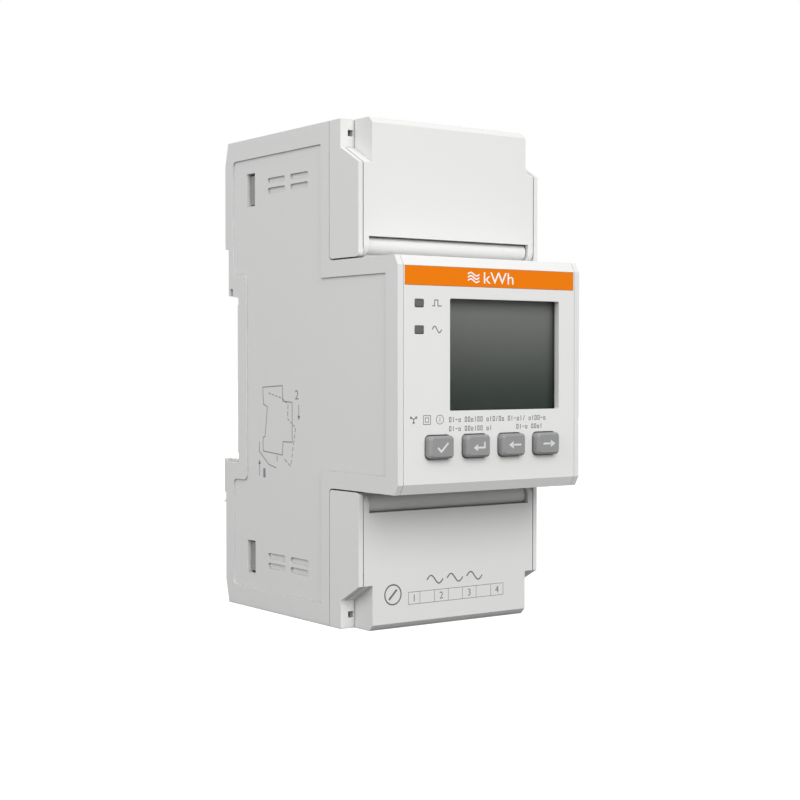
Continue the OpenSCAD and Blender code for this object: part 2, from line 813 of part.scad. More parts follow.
// One terminal screw with a cross slot, at the upper end
module clamp_screw(x, screw_r) {
    head = head_r(screw_r);
    difference() {
        union() {
            rod_y(x, pole_z, screw_r, [bar_front + fit_gap, head_seat + 0.1]);
            rod_y(x, pole_z, head, [head_seat + 0.02, head_seat + head_h]);
        }
        cross_slot(x, pole_z, head_seat + head_h, 1.5 * head, 0.7, 0.5);
    }
}

module upper_screw(i) {
    color("#c9cbcd") clamp_screw(pole_x(i - 1, upper_poles, upper_pitch), upper_screw_r);
}

module upper_cage(i) {
    color("#c8b273") clamp_cage(pole_x(i - 1, upper_poles, upper_pitch), upper_pitch, upper_screw_r);
}

module lower_screw(i) {
    color("#c9cbcd")
    mirror([0, 0, 1]) clamp_screw(pole_x(i - 1, lower_poles, lower_pitch), lower_screw_r);
}

module lower_cage(i) {
    color("#c8b273")
    mirror([0, 0, 1])
        clamp_cage(pole_x(i - 1, lower_poles, lower_pitch), lower_pitch, lower_screw_r);
}

module terminal_block_upper() {
    color("#3a3d40") terminal_block(upper_poles, upper_pitch, upper_screw_r);
}

module terminal_block_lower() {
    color("#3a3d40") mirror([0, 0, 1]) terminal_block(lower_poles, lower_pitch, lower_screw_r);
}

module contact_bars_upper() {
    color("#d8c48a") contact_bars(upper_poles, upper_pitch);
}

module contact_bars_lower() {
    color("#d8c48a") mirror([0, 0, 1]) contact_bars(lower_poles, lower_pitch);
}

// ---- display ----

module title_strip() {
    color("#f08200")
        slab([-strip_half_w, strip_half_w], [nose_depth - strip_t + 0.01, nose_depth],
             [strip_top - strip_h, strip_top]);
}

module display_window() {
    color([0.8, 0.86, 0.84, 0.35])
    translate([window_x, 0, window_z])
        face([lens_back + fit_gap, panel_back - fit_gap / 2])
            round_rect(lens_w, lens_h, 1);
}

// Frame that holds the glass and the backlight against the window
module lcd_frame() {
    color("#f2f2f0")
    translate([window_x, 0, window_z])
        difference() {
            face([display_front + fit_gap, lens_back]) round_rect(lens_w, lens_h, 0.6);
            face([display_front - eps, lens_back + eps])
                round_rect(lens_w - 2 * frame_wall, lens_h - 2 * frame_wall, 0.3);
        }
}

module lcd_glass() {
    color("#59605a")
    translate([window_x, 0, window_z])
        face([glass_back + fit_gap, lens_back]) square([glass_w, glass_h], center = true);
}

module backlight() {
    color("#f4f6f2")
    translate([window_x, 0, window_z + contact_room / 2])
        face([light_back + fit_gap, glass_back])
            square([glass_w, glass_h - contact_room], center = true);
}

// Rubber strip that joins the glass to the board, along the backlight's lower edge
module contact_strip() {
    w = window_w - 2;
    low = window_z - lens_h / 2 + frame_wall + contact_in;
    color("#d47f7a")
    slab([window_x - w / 2, window_x + w / 2], [display_front + fit_gap, glass_back],
         [low, low + contact_h]);
}

module display_board() {
    color("#2f6b45")
    difference() {
        slab([-display_half_w, display_half_w], [display_back, display_front],
             [-display_half_h, display_half_h]);
        both_sides() both_ends()
            rod_y(boss_x, boss_z, board_screw_r + 0.3, [display_back - eps, display_front + eps]);
    }
}

module board_screws() {
    color("#8f9295")
    both_sides() both_ends()
        difference() {
            union() {
                rod_y(boss_x, boss_z, board_screw_r, [display_back - 0.1, panel_back - 1.6]);
                rod_y(boss_x, boss_z, board_screw_head_r,
                      [display_back - board_screw_head_t, display_back - 0.02]);
            }
            cross_slot(boss_x, boss_z, display_back - board_screw_head_t, 2, 0.5, 0.4);
        }
}

// Clear bar that carries a lamp's light to the nose
module light_pipe(z) {
    color([0.45, 0.47, 0.45, 0.8])
    translate([pipe_x, 0, z]) {
        face([led_front + 0.4, nose_depth]) round_rect(pipe_w, pipe_h, 0.25);
        face([panel_back - 1, panel_back - fit_gap])
            round_rect(pipe_w + 2 * pipe_flange, pipe_h + 2 * pipe_flange, 0.3);
    }
}

module light_pipe_pulse() {
    light_pipe(pulse_z);
}

module light_pipe_status() {
    light_pipe(status_z);
}

module indicator_leds() {
    color("#f0e8c8")
    for (z = [pulse_z, status_z])
        slab([pipe_x - led_half_w, pipe_x + led_half_w], [display_front + fit_gap, led_front],
             [z - led_half_h, z + led_half_h]);
}

// ---- keys ----

module key_cap(i) {
    color("#97999b")
    translate([key_x(i), 0, -key_drop]) {
        hull() {
            face([panel_back - 0.2, nose_depth + key_proud - 0.5]) round_rect(key_w, key_h, key_r);
            face([nose_depth + key_proud - 0.1, nose_depth + key_proud])
                round_rect(key_w - 2 * key_edge, key_h - 2 * key_edge, key_r - key_edge / 2);
        }
        face([panel_back - fit_gap - key_flange_t, panel_back - fit_gap])
            round_rect(key_w + 2 * key_flange, key_h + 2 * key_flange, key_r);
        rod_y(0, 0, stem_r, [switch_top + key_travel + fit_gap, panel_back - key_flange_t]);
    }
}

module key_confirm() {
    key_cap(0);
}

module key_back() {
    key_cap(1);
}

module key_left() {
    key_cap(2);
}

module key_right() {
    key_cap(3);
}

module key_switches() {
    color("#2b2c2e")
    for (i = [0:3])
        translate([key_x(i), 0, -key_drop]) {
            face([display_front + fit_gap, display_front + switch_h])
                round_rect(switch_size, switch_size, 0.4);
            rod_y(0, 0, plunger_r, [display_front + switch_h - 0.1, switch_top]);
        }
}

// ---- boards and what stands on them ----

module main_board() {
    half_board = inner_half_h - 0.4;
    color("#2f6b45")
    difference() {
        slab([-board_half_w, board_half_w], [main_board_back + fit_gap, main_board_front],
             [-half_board, half_board]);
        for (i = [0:upper_poles - 1])
            rod_y(pole_x(i, upper_poles, upper_pitch), tail_z, tail_hole_r,
                  [main_board_back - eps, main_board_front + eps]);
        for (i = [0:lower_poles - 1])
            rod_y(pole_x(i, lower_poles, lower_pitch), -tail_z, tail_hole_r,
                  [main_board_back - eps, main_board_front + eps]);
    }
}

module supply_board() {
    color("#2f6b45")
    slab([-board_half_w, board_half_w], [supply_back + fit_gap, supply_front],
         [-supply_half_h, supply_half_h]);
}

// Two rows of square pins through an insulating strip
module pin_header(foot, tip, z) {
    half = header_pins * pin_pitch / 2;
    for (i = [0:header_pins - 1], row = [-0.5, 0.5])
        translate([(i + 0.5) * pin_pitch - half, 0, z + row * pin_pitch])
            slab([-pin_half, pin_half], [foot, tip], [-pin_half, pin_half]);
    slab([-half, half], [foot, foot + pin_strip_t], [z - pin_pitch, z + pin_pitch]);
}

module supply_header() {
    color("#232426")
    pin_header(supply_front + fit_gap, main_board_back - fit_gap, supply_header_z);
}

module display_header() {
    color("#232426")
    pin_header(main_board_front + fit_gap, display_back - fit_gap, display_header_z);
}

// Laminated core of the supply's transformer
module transformer_core() {
    color("#5a5f63")
    difference() {
        slab([-core_half_w, core_half_w], [supply_front + fit_gap, supply_front + core_t], core_z);
        both_sides()
            slab(core_slot, [supply_front - eps, supply_front + core_slot_t],
                 [core_z[0] - eps, core_z[1] + eps]);
    }
}

module transformer_winding() {
    color("#c9a227")
    difference() {
        slab([-winding_half_w, winding_half_w],
             [supply_front + slide_gap, supply_front + core_slot_t - 0.1],
             [core_z[0] - winding_over, core_z[1] + winding_over]);
        slab([-core_slot[0] - 0.1, core_slot[0] + 0.1], [supply_front - eps, supply_front + core_t],
             [core_z[0] - 0.1, core_z[1] + 0.1]);
    }
}

// Smoothing capacitors, upright on the supply board
module supply_capacitors() {
    color("#27303f")
    for (i = [-1:1])
        difference() {
            rod_y(i * can_pitch, can_z, can_r, [supply_front + fit_gap, supply_front + can_t]);
            translate([i * can_pitch, 0, can_z])
                rotate([90, 0, 0])
                    rotate_extrude()
                        translate([can_r + 0.1, supply_front + crimp_up]) circle(crimp_r, $fn = 16);
        }
}

// Disc-shaped surge arresters on the supply board
module surge_arresters() {
    color("#2f62a8")
    for (i = [-1:1])
        translate([i * disc_pitch - disc_t / 2, 0, disc_z])
            rod_x(supply_front + disc_r + 0.4, 0, disc_r, [0, disc_t]);
}

// Small current transformer, a potted ring on the main board
module current_transformer(i) {
    color("#1f4f86")
    translate([(i - 2) * ring_pitch, 0, ring_z])
        difference() {
            slab([-ring_half_w, ring_half_w], [main_board_front + fit_gap, main_board_front + ring_t],
                 [-ring_half_h, ring_half_h]);
            rod_y(0, 0, ring_bore_r, [main_board_front + ring_floor, main_board_front + ring_t + eps]);
        }
}

module meter_chip() {
    color("#1c1d1f")
    slab([-chip_half, chip_half], [display_back - chip_t, display_back - fit_gap],
         [chip_z - chip_half, chip_z + chip_half]);
}

module backup_cell() {
    color("#c4c7ca")
    rod_y(cell_x, cell_z, cell_r, [display_back - cell_t, display_back - fit_gap]);
}

// ---- assembly ----

base_housing();
front_shell();
terminal_cover_upper();
terminal_cover_lower();
rail_clip();
clip_spring();
title_strip();
display_window();
lcd_frame();
lcd_glass();
backlight();
contact_strip();
display_board();
board_screws();
light_pipe_pulse();
light_pipe_status();
indicator_leds();
key_switches();
key_confirm();
key_back();
key_left();
key_right();
main_board();
supply_board();
supply_header();
display_header();
terminal_block_upper();
terminal_block_lower();
contact_bars_upper();
contact_bars_lower();
upper_screw(1);  // screw_upper_1
upper_cage(1);  // cage_upper_1
upper_screw(2);  // screw_upper_2
upper_cage(2);  // cage_upper_2
upper_screw(3);  // screw_upper_3
upper_cage(3);  // cage_upper_3
upper_screw(4);  // screw_upper_4
upper_cage(4);  // cage_upper_4
upper_screw(5);  // screw_upper_5
upper_cage(5);  // cage_upper_5
upper_screw(6);  // screw_upper_6
upper_cage(6);  // cage_upper_6
lower_screw(1);  // screw_lower_1
lower_cage(1);  // cage_lower_1
lower_screw(2);  // screw_lower_2
lower_cage(2);  // cage_lower_2
lower_screw(3);  // screw_lower_3
lower_cage(3);  // cage_lower_3
lower_screw(4);  // screw_lower_4
lower_cage(4);  // cage_lower_4
transformer_core();
transformer_winding();
supply_capacitors();
surge_arresters();
current_transformer(1);  // current_transformer_1
current_transformer(2);  // current_transformer_2
current_transformer(3);  // current_transformer_3
meter_chip();
backup_cell();
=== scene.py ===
import json
import math

import bmesh
import bpy
from mathutils import Matrix, Vector

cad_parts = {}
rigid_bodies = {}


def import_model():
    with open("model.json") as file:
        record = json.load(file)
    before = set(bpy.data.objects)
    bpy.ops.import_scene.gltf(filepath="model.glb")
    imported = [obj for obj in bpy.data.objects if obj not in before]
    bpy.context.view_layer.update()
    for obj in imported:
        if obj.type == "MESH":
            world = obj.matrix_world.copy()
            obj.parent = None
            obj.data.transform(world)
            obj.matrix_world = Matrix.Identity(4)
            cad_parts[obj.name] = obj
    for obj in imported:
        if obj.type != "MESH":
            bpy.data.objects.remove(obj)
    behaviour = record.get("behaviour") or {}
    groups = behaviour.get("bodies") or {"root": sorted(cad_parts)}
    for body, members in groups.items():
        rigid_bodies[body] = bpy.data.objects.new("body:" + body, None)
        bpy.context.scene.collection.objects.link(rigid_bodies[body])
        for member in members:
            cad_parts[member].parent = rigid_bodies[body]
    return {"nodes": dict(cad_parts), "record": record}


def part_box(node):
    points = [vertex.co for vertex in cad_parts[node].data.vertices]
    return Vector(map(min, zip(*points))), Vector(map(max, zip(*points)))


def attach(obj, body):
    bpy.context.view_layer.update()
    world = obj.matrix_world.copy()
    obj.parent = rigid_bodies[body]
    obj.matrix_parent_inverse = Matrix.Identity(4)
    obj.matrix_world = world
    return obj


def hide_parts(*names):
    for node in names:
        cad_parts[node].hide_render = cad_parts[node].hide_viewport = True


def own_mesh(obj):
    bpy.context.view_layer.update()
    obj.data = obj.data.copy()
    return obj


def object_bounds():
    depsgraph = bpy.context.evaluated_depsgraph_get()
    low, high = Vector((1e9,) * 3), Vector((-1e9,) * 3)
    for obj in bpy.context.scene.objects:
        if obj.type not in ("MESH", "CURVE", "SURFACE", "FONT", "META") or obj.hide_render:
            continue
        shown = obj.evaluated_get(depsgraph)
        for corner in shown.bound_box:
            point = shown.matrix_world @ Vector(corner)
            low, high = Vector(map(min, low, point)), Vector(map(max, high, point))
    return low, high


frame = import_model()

CAD_BOX = [list(corner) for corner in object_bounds()]
MM = 0.001


# ---- what the frame says about sizes and bodies ----

NODES = frame["nodes"]
BODY_OF = {node: body for body, nodes in frame["record"]["behaviour"]["bodies"].items() for node in nodes}
SLOT_OF = {entry["node"]: entry["material_slot"] for entry in frame["record"]["subparts"]}


def low(node):
    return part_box(node)[0]


def high(node):
    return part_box(node)[1]


def middle(node):
    return (low(node) + high(node)) / 2


def nodes_named(start):
    return sorted(name for name in NODES if name.startswith(start))


# ---- shader building blocks ----

def opaque(colour):
    """A colour with its alpha, when it was given without."""
    return (*colour, 1.0) if len(colour) == 3 else colour


def set_input(socket, value):
    socket.default_value = opaque(value) if socket.type == "RGBA" else value


class Recipe:
    """The node tree of one material, with its Principled shader."""

    def __init__(self, name):
        self.material = bpy.data.materials.new(name)
        self.material.use_nodes = True
        self.tree = self.material.node_tree
        self.shader = self.tree.nodes["Principled BSDF"]
        self.place = self.add("ShaderNodeTexCoord").outputs["Object"]

    def add(self, kind, **settings):
        node = self.tree.nodes.new(kind)
        for key, value in settings.items():
            setattr(node, key, value)
        return node

    def join(self, source, target):
        self.tree.links.new(source, target)

    def set(self, **values):
        """Sockets of the shader that are the same all over the piece."""
        for key, value in values.items():
            set_input(self.shader.inputs[key.replace("_", " ")], value)

    def effect(self, group, output, **values):
        """What a shared effect puts out, read at the piece's own place."""
        node = self.add("ShaderNodeGroup")
        node.node_tree = group
        for key, value in values.items():
            set_input(node.inputs[key.replace("_", " ")], value)
        self.join(self.place, node.inputs["Place"])
        return node.outputs[output]

    def times(self, value, factor):
        """A mask made stronger or weaker."""
        node = self.add("ShaderNodeMath", operation="MULTIPLY", use_clamp=True)
        self.join(value, node.inputs[0])
        node.inputs[1].default_value = factor
        return node.outputs[0]

    def mix(self, share, first, second):
        node = self.add("ShaderNodeMix", data_type="RGBA")
        self.join(share, node.inputs["Factor"])
        for socket, value in ((node.inputs["A"], first), (node.inputs["B"], second)):
            if hasattr(value, "is_output"):
                self.join(value, socket)
            else:
                set_input(socket, value)
        return node.outputs["Result"]

    def tone(self, colour, deep, size=38.0, amount=0.3):
        """A colour that drifts slowly to a deeper one, size patches to the metre."""
        return self.effect(TONE_DRIFT, "Colour", Colour=colour, Deep=deep, Size_per_metre=size, Amount=amount)

    def wear_and_shade(self, strength, radius=0.0004):
        """Mask of the edges, for rubbed wear and for painted shade."""
        return self.times(self.effect(EDGE_WEAR_SHADE, "Mask", Radius=radius), strength)

    def dust_and_shade(self, strength, reach=0.0022):
        """Mask of the corners, for dust and for painted shade."""
        return self.times(self.effect(DUST_SHADE_MASK, "Mask", Reach=reach), strength)

    def paint(self, colour):
        self.join(colour, self.shader.inputs["Base Color"])

    def shine(self, middle, spread, size=120.0):
        """Roughness about a middle value, size patches to the metre."""
        gloss = self.effect(GLOSS_DRIFT, "Roughness", Middle=middle, Spread=spread, Size_per_metre=size)
        self.join(gloss, self.shader.inputs["Roughness"])

    def raised(self, height, depth):
        """Raises the surface by a height mask, depth metres at most."""
        bump = self.add("ShaderNodeBump")
        bump.inputs["Distance"].default_value = depth
        self.join(height, bump.inputs["Height"])
        self.join(bump.outputs["Normal"], self.shader.inputs["Normal"])

    def grain(self, per_metre, depth):
        self.raised(self.effect(SPARK_GRAIN, "Height", Grain_per_metre=per_metre), depth)

    def lines(self, along, per_metre, depth):
        self.raised(self.effect(DRAWN_LINES, "Height", Along=along, Lines_per_metre=per_metre), depth)


class Effect:
    """A shader node group under construction, with its named sockets and default values."""

    KINDS = {"value": "NodeSocketFloat", "colour": "NodeSocketColor", "vector": "NodeSocketVector"}

    def __init__(self, name, inputs, output, kind="value"):
        self.group = bpy.data.node_groups.new(name, "ShaderNodeTree")
        self.new_input("Place", "vector")
        for label, (sort, default) in inputs.items():
            self.new_input(label, sort).default_value = opaque(default) if sort == "colour" else default
        self.group.interface.new_socket(output, in_out="OUTPUT", socket_type=self.KINDS[kind])
        self.given = self.group.nodes.new("NodeGroupInput").outputs
        self.result = self.group.nodes.new("NodeGroupOutput").inputs[output]

    def new_input(self, label, sort):
        return self.group.interface.new_socket(label, in_out="INPUT", socket_type=self.KINDS[sort])

    def add(self, kind):
        return self.group.nodes.new(kind)

    def feed(self, socket, value):
        if hasattr(value, "is_output"):
            self.group.links.new(value, socket)
        else:
            socket.default_value = value

    def maths(self, operation, first, second, clamp=False):
        """A Math node between two sockets or numbers."""
        node = self.add("ShaderNodeMath")
        node.operation = operation
        node.use_clamp = clamp
        self.feed(node.inputs[0], first)
        self.feed(node.inputs[1], second)
        return node.outputs[0]

    def times(self, first, second, clamp=False):
        return self.maths("MULTIPLY", first, second, clamp)

    def noise(self, scale, detail=3.0, roughness=0.55, place=None):
        node = self.add("ShaderNodeTexNoise")
        self.feed(node.inputs["Vector"], place or self.given["Place"])
        self.feed(node.inputs["Scale"], scale)
        node.inputs["Detail"].default_value = detail
        node.inputs["Roughness"].default_value = roughness
        return node.outputs["Fac"]

    def stretched(self, scale):
        """The place, stretched by a scale along each way."""
        node = self.add("ShaderNodeMapping")
        self.feed(node.inputs["Vector"], self.given["Place"])
        self.feed(node.inputs["Scale"], scale)
        return node.outputs["Vector"]

    def done(self, value):
        self.group.links.new(value, self.result)
        return self.group


def spark_grain_group():
    """Fine spark-eroded mould texture: rounded grains with a little noise between them."""
    effect = Effect("spark_grain", {"Grain per metre": ("value", 4200.0)}, "Height")
    grain = effect.given["Grain per metre"]
    cells = effect.add("ShaderNodeTexVoronoi")
    cells.feature = "SMOOTH_F1"
    effect.feed(cells.inputs["Vector"], effect.given["Place"])
    effect.feed(cells.inputs["Scale"], grain)
    fine = effect.noise(effect.times(grain, 2.3))
    coarse = effect.noise(effect.times(grain, 0.21))
    both = effect.maths("ADD", effect.times(cells.outputs["Distance"], -0.6), effect.times(fine, 0.5))
    return effect.done(effect.maths("ADD", both, effect.times(coarse, 0.35)))


def tone_drift_group():
    """Slow change of tone over a moulding, with faint flow streaks along its height."""
    effect = Effect("tone_drift", {"Colour": ("colour", (0.8, 0.8, 0.8)), "Deep": ("colour", (0.7, 0.7, 0.7)),
                                   "Size per metre": ("value", 38.0), "Amount": ("value", 0.3)},
                    "Colour", "colour")
    size = effect.given["Size per metre"]
    slow = effect.noise(size, 4.0, place=effect.stretched((1.0, 1.0, 0.35)))
    fine = effect.noise(effect.times(size, 14.0), 2.0)
    share = effect.maths("ADD", effect.times(slow, 0.75), effect.times(fine, 0.25))
    share = effect.times(effect.maths("SUBTRACT", share, 0.32, True), effect.given["Amount"], True)
    mix = effect.add("ShaderNodeMix")
    mix.data_type = "RGBA"
    effect.feed(mix.inputs["Factor"], share)
    effect.feed(mix.inputs["A"], effect.given["Colour"])
    effect.feed(mix.inputs["B"], effect.given["Deep"])
    return effect.done(mix.outputs["Result"])


def edge_wear_shade_group():
    """Mask of the outer edges, broken up by noise: polished by handling on mouldings and film, and painted
    shade on the light guides.
    """
    effect = Effect("edge_wear_and_shade",
                    {"Radius": ("value", 0.0004), "Breaks per metre": ("value", 420.0)}, "Mask")
    round_normal = effect.add("ShaderNodeBevel")
    round_normal.samples = 4
    effect.feed(round_normal.inputs["Radius"], effect.given["Radius"])
    plain = effect.add("ShaderNodeNewGeometry")
    dot = effect.add("ShaderNodeVectorMath")
    dot.operation = "DOT_PRODUCT"
    effect.feed(dot.inputs[0], round_normal.outputs["Normal"])
    effect.feed(dot.inputs[1], plain.outputs["Normal"])
    turned = effect.times(effect.maths("SUBTRACT", 1.0, dot.outputs["Value"]), 7.0, True)
    patches = effect.noise(effect.given["Breaks per metre"], 4.0)
    broken = effect.times(effect.maths("SUBTRACT", patches, 0.36, True), 3.2, True)
    return effect.done(effect.times(turned, broken, True))


def dust_shade_mask_group():
    """Mask of the corners and grooves: where a little dust stays, and where painted shade darkens them."""
    effect = Effect("dust_and_corner_shade",
                    {"Reach": ("value", 0.0022), "Patches per metre": ("value", 160.0)}, "Mask")
    hollow = effect.add("ShaderNodeAmbientOcclusion")
    hollow.samples = 4
    effect.feed(hollow.inputs["Distance"], effect.given["Reach"])
    closed = effect.maths("POWER", effect.maths("SUBTRACT", 1.0, hollow.outputs["AO"], True), 1.6, True)
    patches = effect.noise(effect.given["Patches per metre"], 5.0, 0.65)
    return effect.done(effect.times(closed, patches, True))


def gloss_drift_group():
    """Roughness that wanders about a middle value, with finer smudges on it."""
    effect = Effect("gloss_drift", {"Middle": ("value", 0.5), "Spread": ("value", 0.1),
                                    "Size per metre": ("value", 120.0)}, "Roughness")
    slow = effect.noise(effect.given["Size per metre"], 5.0, 0.6)
    around = effect.times(effect.maths("SUBTRACT", slow, 0.5), effect.times(effect.given["Spread"], 2.0))
    return effect.done(effect.maths("ADD", effect.given["Middle"], around, True))


def drawn_lines_group():
    """Fine parallel lines, as rolling, drawing or wiping leaves them."""
    effect = Effect("drawn_lines",
                    {"Along": ("vector", (1.0, 1.0, 0.1)), "Lines per metre": ("value", 900.0)}, "Height")
    lines = effect.given["Lines per metre"]
    fine = effect.noise(lines, 3.0, 0.7, effect.stretched(effect.given["Along"]))
    pits = effect.noise(effect.times(lines, 3.1))
    return effect.done(effect.maths("ADD", effect.times(fine, 0.8), effect.times(pits, 0.2)))


SPARK_GRAIN = spark_grain_group()
DRAWN_LINES = drawn_lines_group()
TONE_DRIFT = tone_drift_group()
EDGE_WEAR_SHADE = edge_wear_shade_group()
DUST_SHADE_MASK = dust_shade_mask_group()
GLOSS_DRIFT = gloss_drift_group()

# Colour of the dust, also carrying painted shade in the corners.
DUST_AND_SHADE_COLOUR = (0.42, 0.40, 0.37)
# Near-black colour of the painted shadow in tight creases.
CREASE_SHADOW_COLOUR = (0.12, 0.12, 0.118)


def moulded(name, colour, deep, rough=0.5, grain=4200.0, dust_and_shade=0.3, light=None, crease_shadow=0.0):
    """Injection-moulded plastic: spark grain, slow tone changes, polished edges, a little dust with painted
    shade in the corners, and painted shadow lines in tight creases.
    """
    recipe = Recipe(name)
    worn = light or tuple(min(1.0, c * 1.12 + 0.02) for c in colour)
    tone = recipe.mix(recipe.wear_and_shade(0.25), recipe.tone(colour, deep), worn)
    # Dust, with painted shade, in the wider corners.
    tone = recipe.mix(recipe.dust_and_shade(dust_and_shade), tone, DUST_AND_SHADE_COLOUR)
    # Painted shadow: near-black lines along the tight corners and creases.
    if crease_shadow:
        tone = recipe.mix(recipe.dust_and_shade(crease_shadow, 0.0007), tone, CREASE_SHADOW_COLOUR)
    recipe.paint(tone)
    recipe.shine(rough, 0.07)
    recipe.grain(grain, 0.000012)
    recipe.set(Specular_IOR_Level=0.45)
    return recipe.material


def metal(name, colour, dark, rough=0.3, scale=900.0):
    """Drawn or stamped metal: fine lines along one way, slow tarnish and dulled hollows."""
    recipe = Recipe(name)
    tone = recipe.tone(colour, dark, 160.0, 0.7)
    recipe.paint(recipe.mix(recipe.dust_and_shade(0.25, 0.0012), tone, tuple(c * 0.35 for c in dark)))
    recipe.shine(rough, 0.12, 500.0)
    recipe.lines((1.0, 1.0, 0.08), scale, 0.000006)
    recipe.set(Metallic=1.0)
    return recipe.material


def glossy(name, colour, deep, rough=0.22, coat=0.3, grain=1800.0, depth=0.000008):
    """Smooth moulded or lacquered surface with a faint orange-peel ripple under a coat."""
    recipe = Recipe(name)
    recipe.paint(recipe.tone(colour, deep, 90.0, 0.6))
    recipe.shine(rough, 0.06, 260.0)
    recipe.grain(grain, depth)
    recipe.set(Coat_Weight=coat, Coat_Roughness=0.12)
    return recipe.material


def clear_window():
    """Polished clear sheet: nearly all light passes, with a faint film of fine scratches."""
    recipe = Recipe("display_window_clear")
    recipe.lines((0.15, 1.0, 1.0), 2600.0, 0.0000002)
    recipe.shine(0.06, 0.03, 300.0)
    recipe.set(Base_Color=(0.05, 0.055, 0.05), Alpha=0.12, IOR=1.49)
    return recipe.material


def display_glass():
    """Display cell at rest: dark grey-green, with a painted reflection that lights its top and falls off to
    its foot.
    """
    recipe = Recipe("display_cell_glass")
    parts = recipe.add("ShaderNodeSeparateXYZ")
    recipe.join(recipe.place, parts.inputs["Vector"])
    # Painted reflection: the cell is lighter towards its top.
    climb = recipe.add("ShaderNodeMapRange", interpolation_type="SMOOTHSTEP")
    recipe.join(parts.outputs["Z"], climb.inputs["Value"])
    climb.inputs["From Min"].default_value = low("lcd_glass").z
    climb.inputs["From Max"].default_value = high("lcd_glass").z + 4.0 * MM
    tone = recipe.mix(climb.outputs["Result"], (0.028, 0.040, 0.034), (0.270, 0.276, 0.262))
    cells = recipe.add("ShaderNodeTexVoronoi", feature="DISTANCE_TO_EDGE")
    recipe.join(recipe.place, cells.inputs["Vector"])
    cells.inputs["Scale"].default_value = 5200.0
    recipe.paint(recipe.mix(recipe.times(cells.outputs["Distance"], 0.10), tone, (0.10, 0.115, 0.10)))
    recipe.shine(0.3, 0.04, 150.0)
    recipe.grain(9000.0, 0.0000006)
    recipe.set(Specular_IOR_Level=0.35)
    return recipe.material


def circuit_board(name, mask, deep):
    """Solder mask over copper: raised tracks in a crossing grid, and the glass weave under it."""
    recipe = Recipe(name)
    weave = recipe.add("ShaderNodeTexWave", wave_type="BANDS", bands_direction="X")
    recipe.join(recipe.place, weave.inputs["Vector"])
    weave.inputs["Scale"].default_value = 620.0
    weave.inputs["Distortion"].default_value = 0.6
    turn = recipe.add("ShaderNodeMapping")
    turn.inputs["Rotation"].default_value = (math.radians(90), 0.0, 0.0)
    recipe.join(recipe.place, turn.inputs["Vector"])
    tracks = recipe.add("ShaderNodeTexBrick", offset=0.5)
    recipe.join(turn.outputs["Vector"], tracks.inputs["Vector"])
    for label, value in {"Scale": 130.0, "Mortar Size": 0.035, "Mortar Smooth": 0.3, "Brick Width": 0.9,
                         "Row Height": 0.21, "Color1": (0.0, 0.0, 0.0), "Color2": (0.25, 0.25, 0.25),
                         "Mortar": (1.0, 1.0, 1.0)}.items():
        set_input(tracks.inputs[label], value)
    light = tuple(min(1.0, c * 1.9 + 0.01) for c in mask)
    tone = recipe.tone(mask, deep, 60.0, 0.8)
    recipe.paint(recipe.mix(recipe.times(tracks.outputs["Fac"], 0.75), tone, light))
    height = recipe.add("ShaderNodeMath", operation="MULTIPLY_ADD")
    recipe.join(weave.outputs["Fac"], height.inputs[0])
    height.inputs[1].default_value = 0.12
    recipe.join(tracks.outputs["Fac"], height.inputs[2])
    recipe.raised(height.outputs[0], 0.00003)
    recipe.shine(0.3, 0.06, 300.0)
    recipe.set(Coat_Weight=0.4, Coat_Roughness=0.15)
    return recipe.material


def banded(name, colour, groove, per_metre, way, rough=0.4, metallic=0.0):
    """Stacked sheets or wound turns: even bands with dark grooves between them."""
    recipe = Recipe(name)
    bands = recipe.add("ShaderNodeTexWave", wave_type="BANDS", bands_direction=way, wave_profile="SIN")
    recipe.join(recipe.place, bands.inputs["Vector"])
    bands.inputs["Scale"].default_value = per_metre / 20 * math.tau
    bands.inputs["Distortion"].default_value = 0.4
    bands.inputs["Detail"].default_value = 2.0
    tone = recipe.tone(colour, tuple(c * 0.8 for c in colour), 200.0)
    recipe.paint(recipe.mix(bands.outputs["Fac"], groove, tone))
    recipe.shine(rough, 0.1, 400.0)
    recipe.raised(bands.outputs["Fac"], 0.00008)
    recipe.set(Metallic=metallic)
    return recipe.material


def marking_finish(name, colour, thin):
    """Flat marking colour with slightly uneven cover: pad-printed ink, and the painted shade on the side
    picture's raised lines.
    """
    recipe = Recipe(name)
    recipe.paint(recipe.tone(colour, thin, 900.0, 0.8))
    recipe.shine(0.55, 0.08, 700.0)
    recipe.grain(5200.0, 0.000006)
    return recipe.material


def title_film():
    """Coloured film on the nose: even tone, fine leather-grain emboss and a soft sheen."""
    recipe = Recipe("title_film")
    tone = recipe.tone((0.78, 0.185, 0.0), (0.71, 0.16, 0.0), 50.0, 0.4)
    recipe.paint(recipe.mix(recipe.wear_and_shade(0.25, 0.0002), tone, (0.95, 0.42, 0.12)))
    recipe.shine(0.42, 0.06, 220.0)
    recipe.grain(6500.0, 0.000008)
    recipe.set(Specular_IOR_Level=0.12)
    return recipe.material


def smoke_pipe():
    """Smoke-tinted light guide with painted shade darkening its edges."""
    recipe = Recipe("light_pipe_smoke")
    tone = recipe.tone((0.118, 0.118, 0.112), (0.08, 0.08, 0.077), 500.0)
    # Painted shade: the edges of the guide go nearly black.
    recipe.paint(recipe.mix(recipe.wear_and_shade(1.5), tone, (0.02, 0.02, 0.02)))
    recipe.shine(0.3, 0.06, 800.0)
    recipe.grain(7000.0, 0.000004)
    recipe.set(Coat_Weight=0.25, Coat_Roughness=0.2)
    return recipe.material


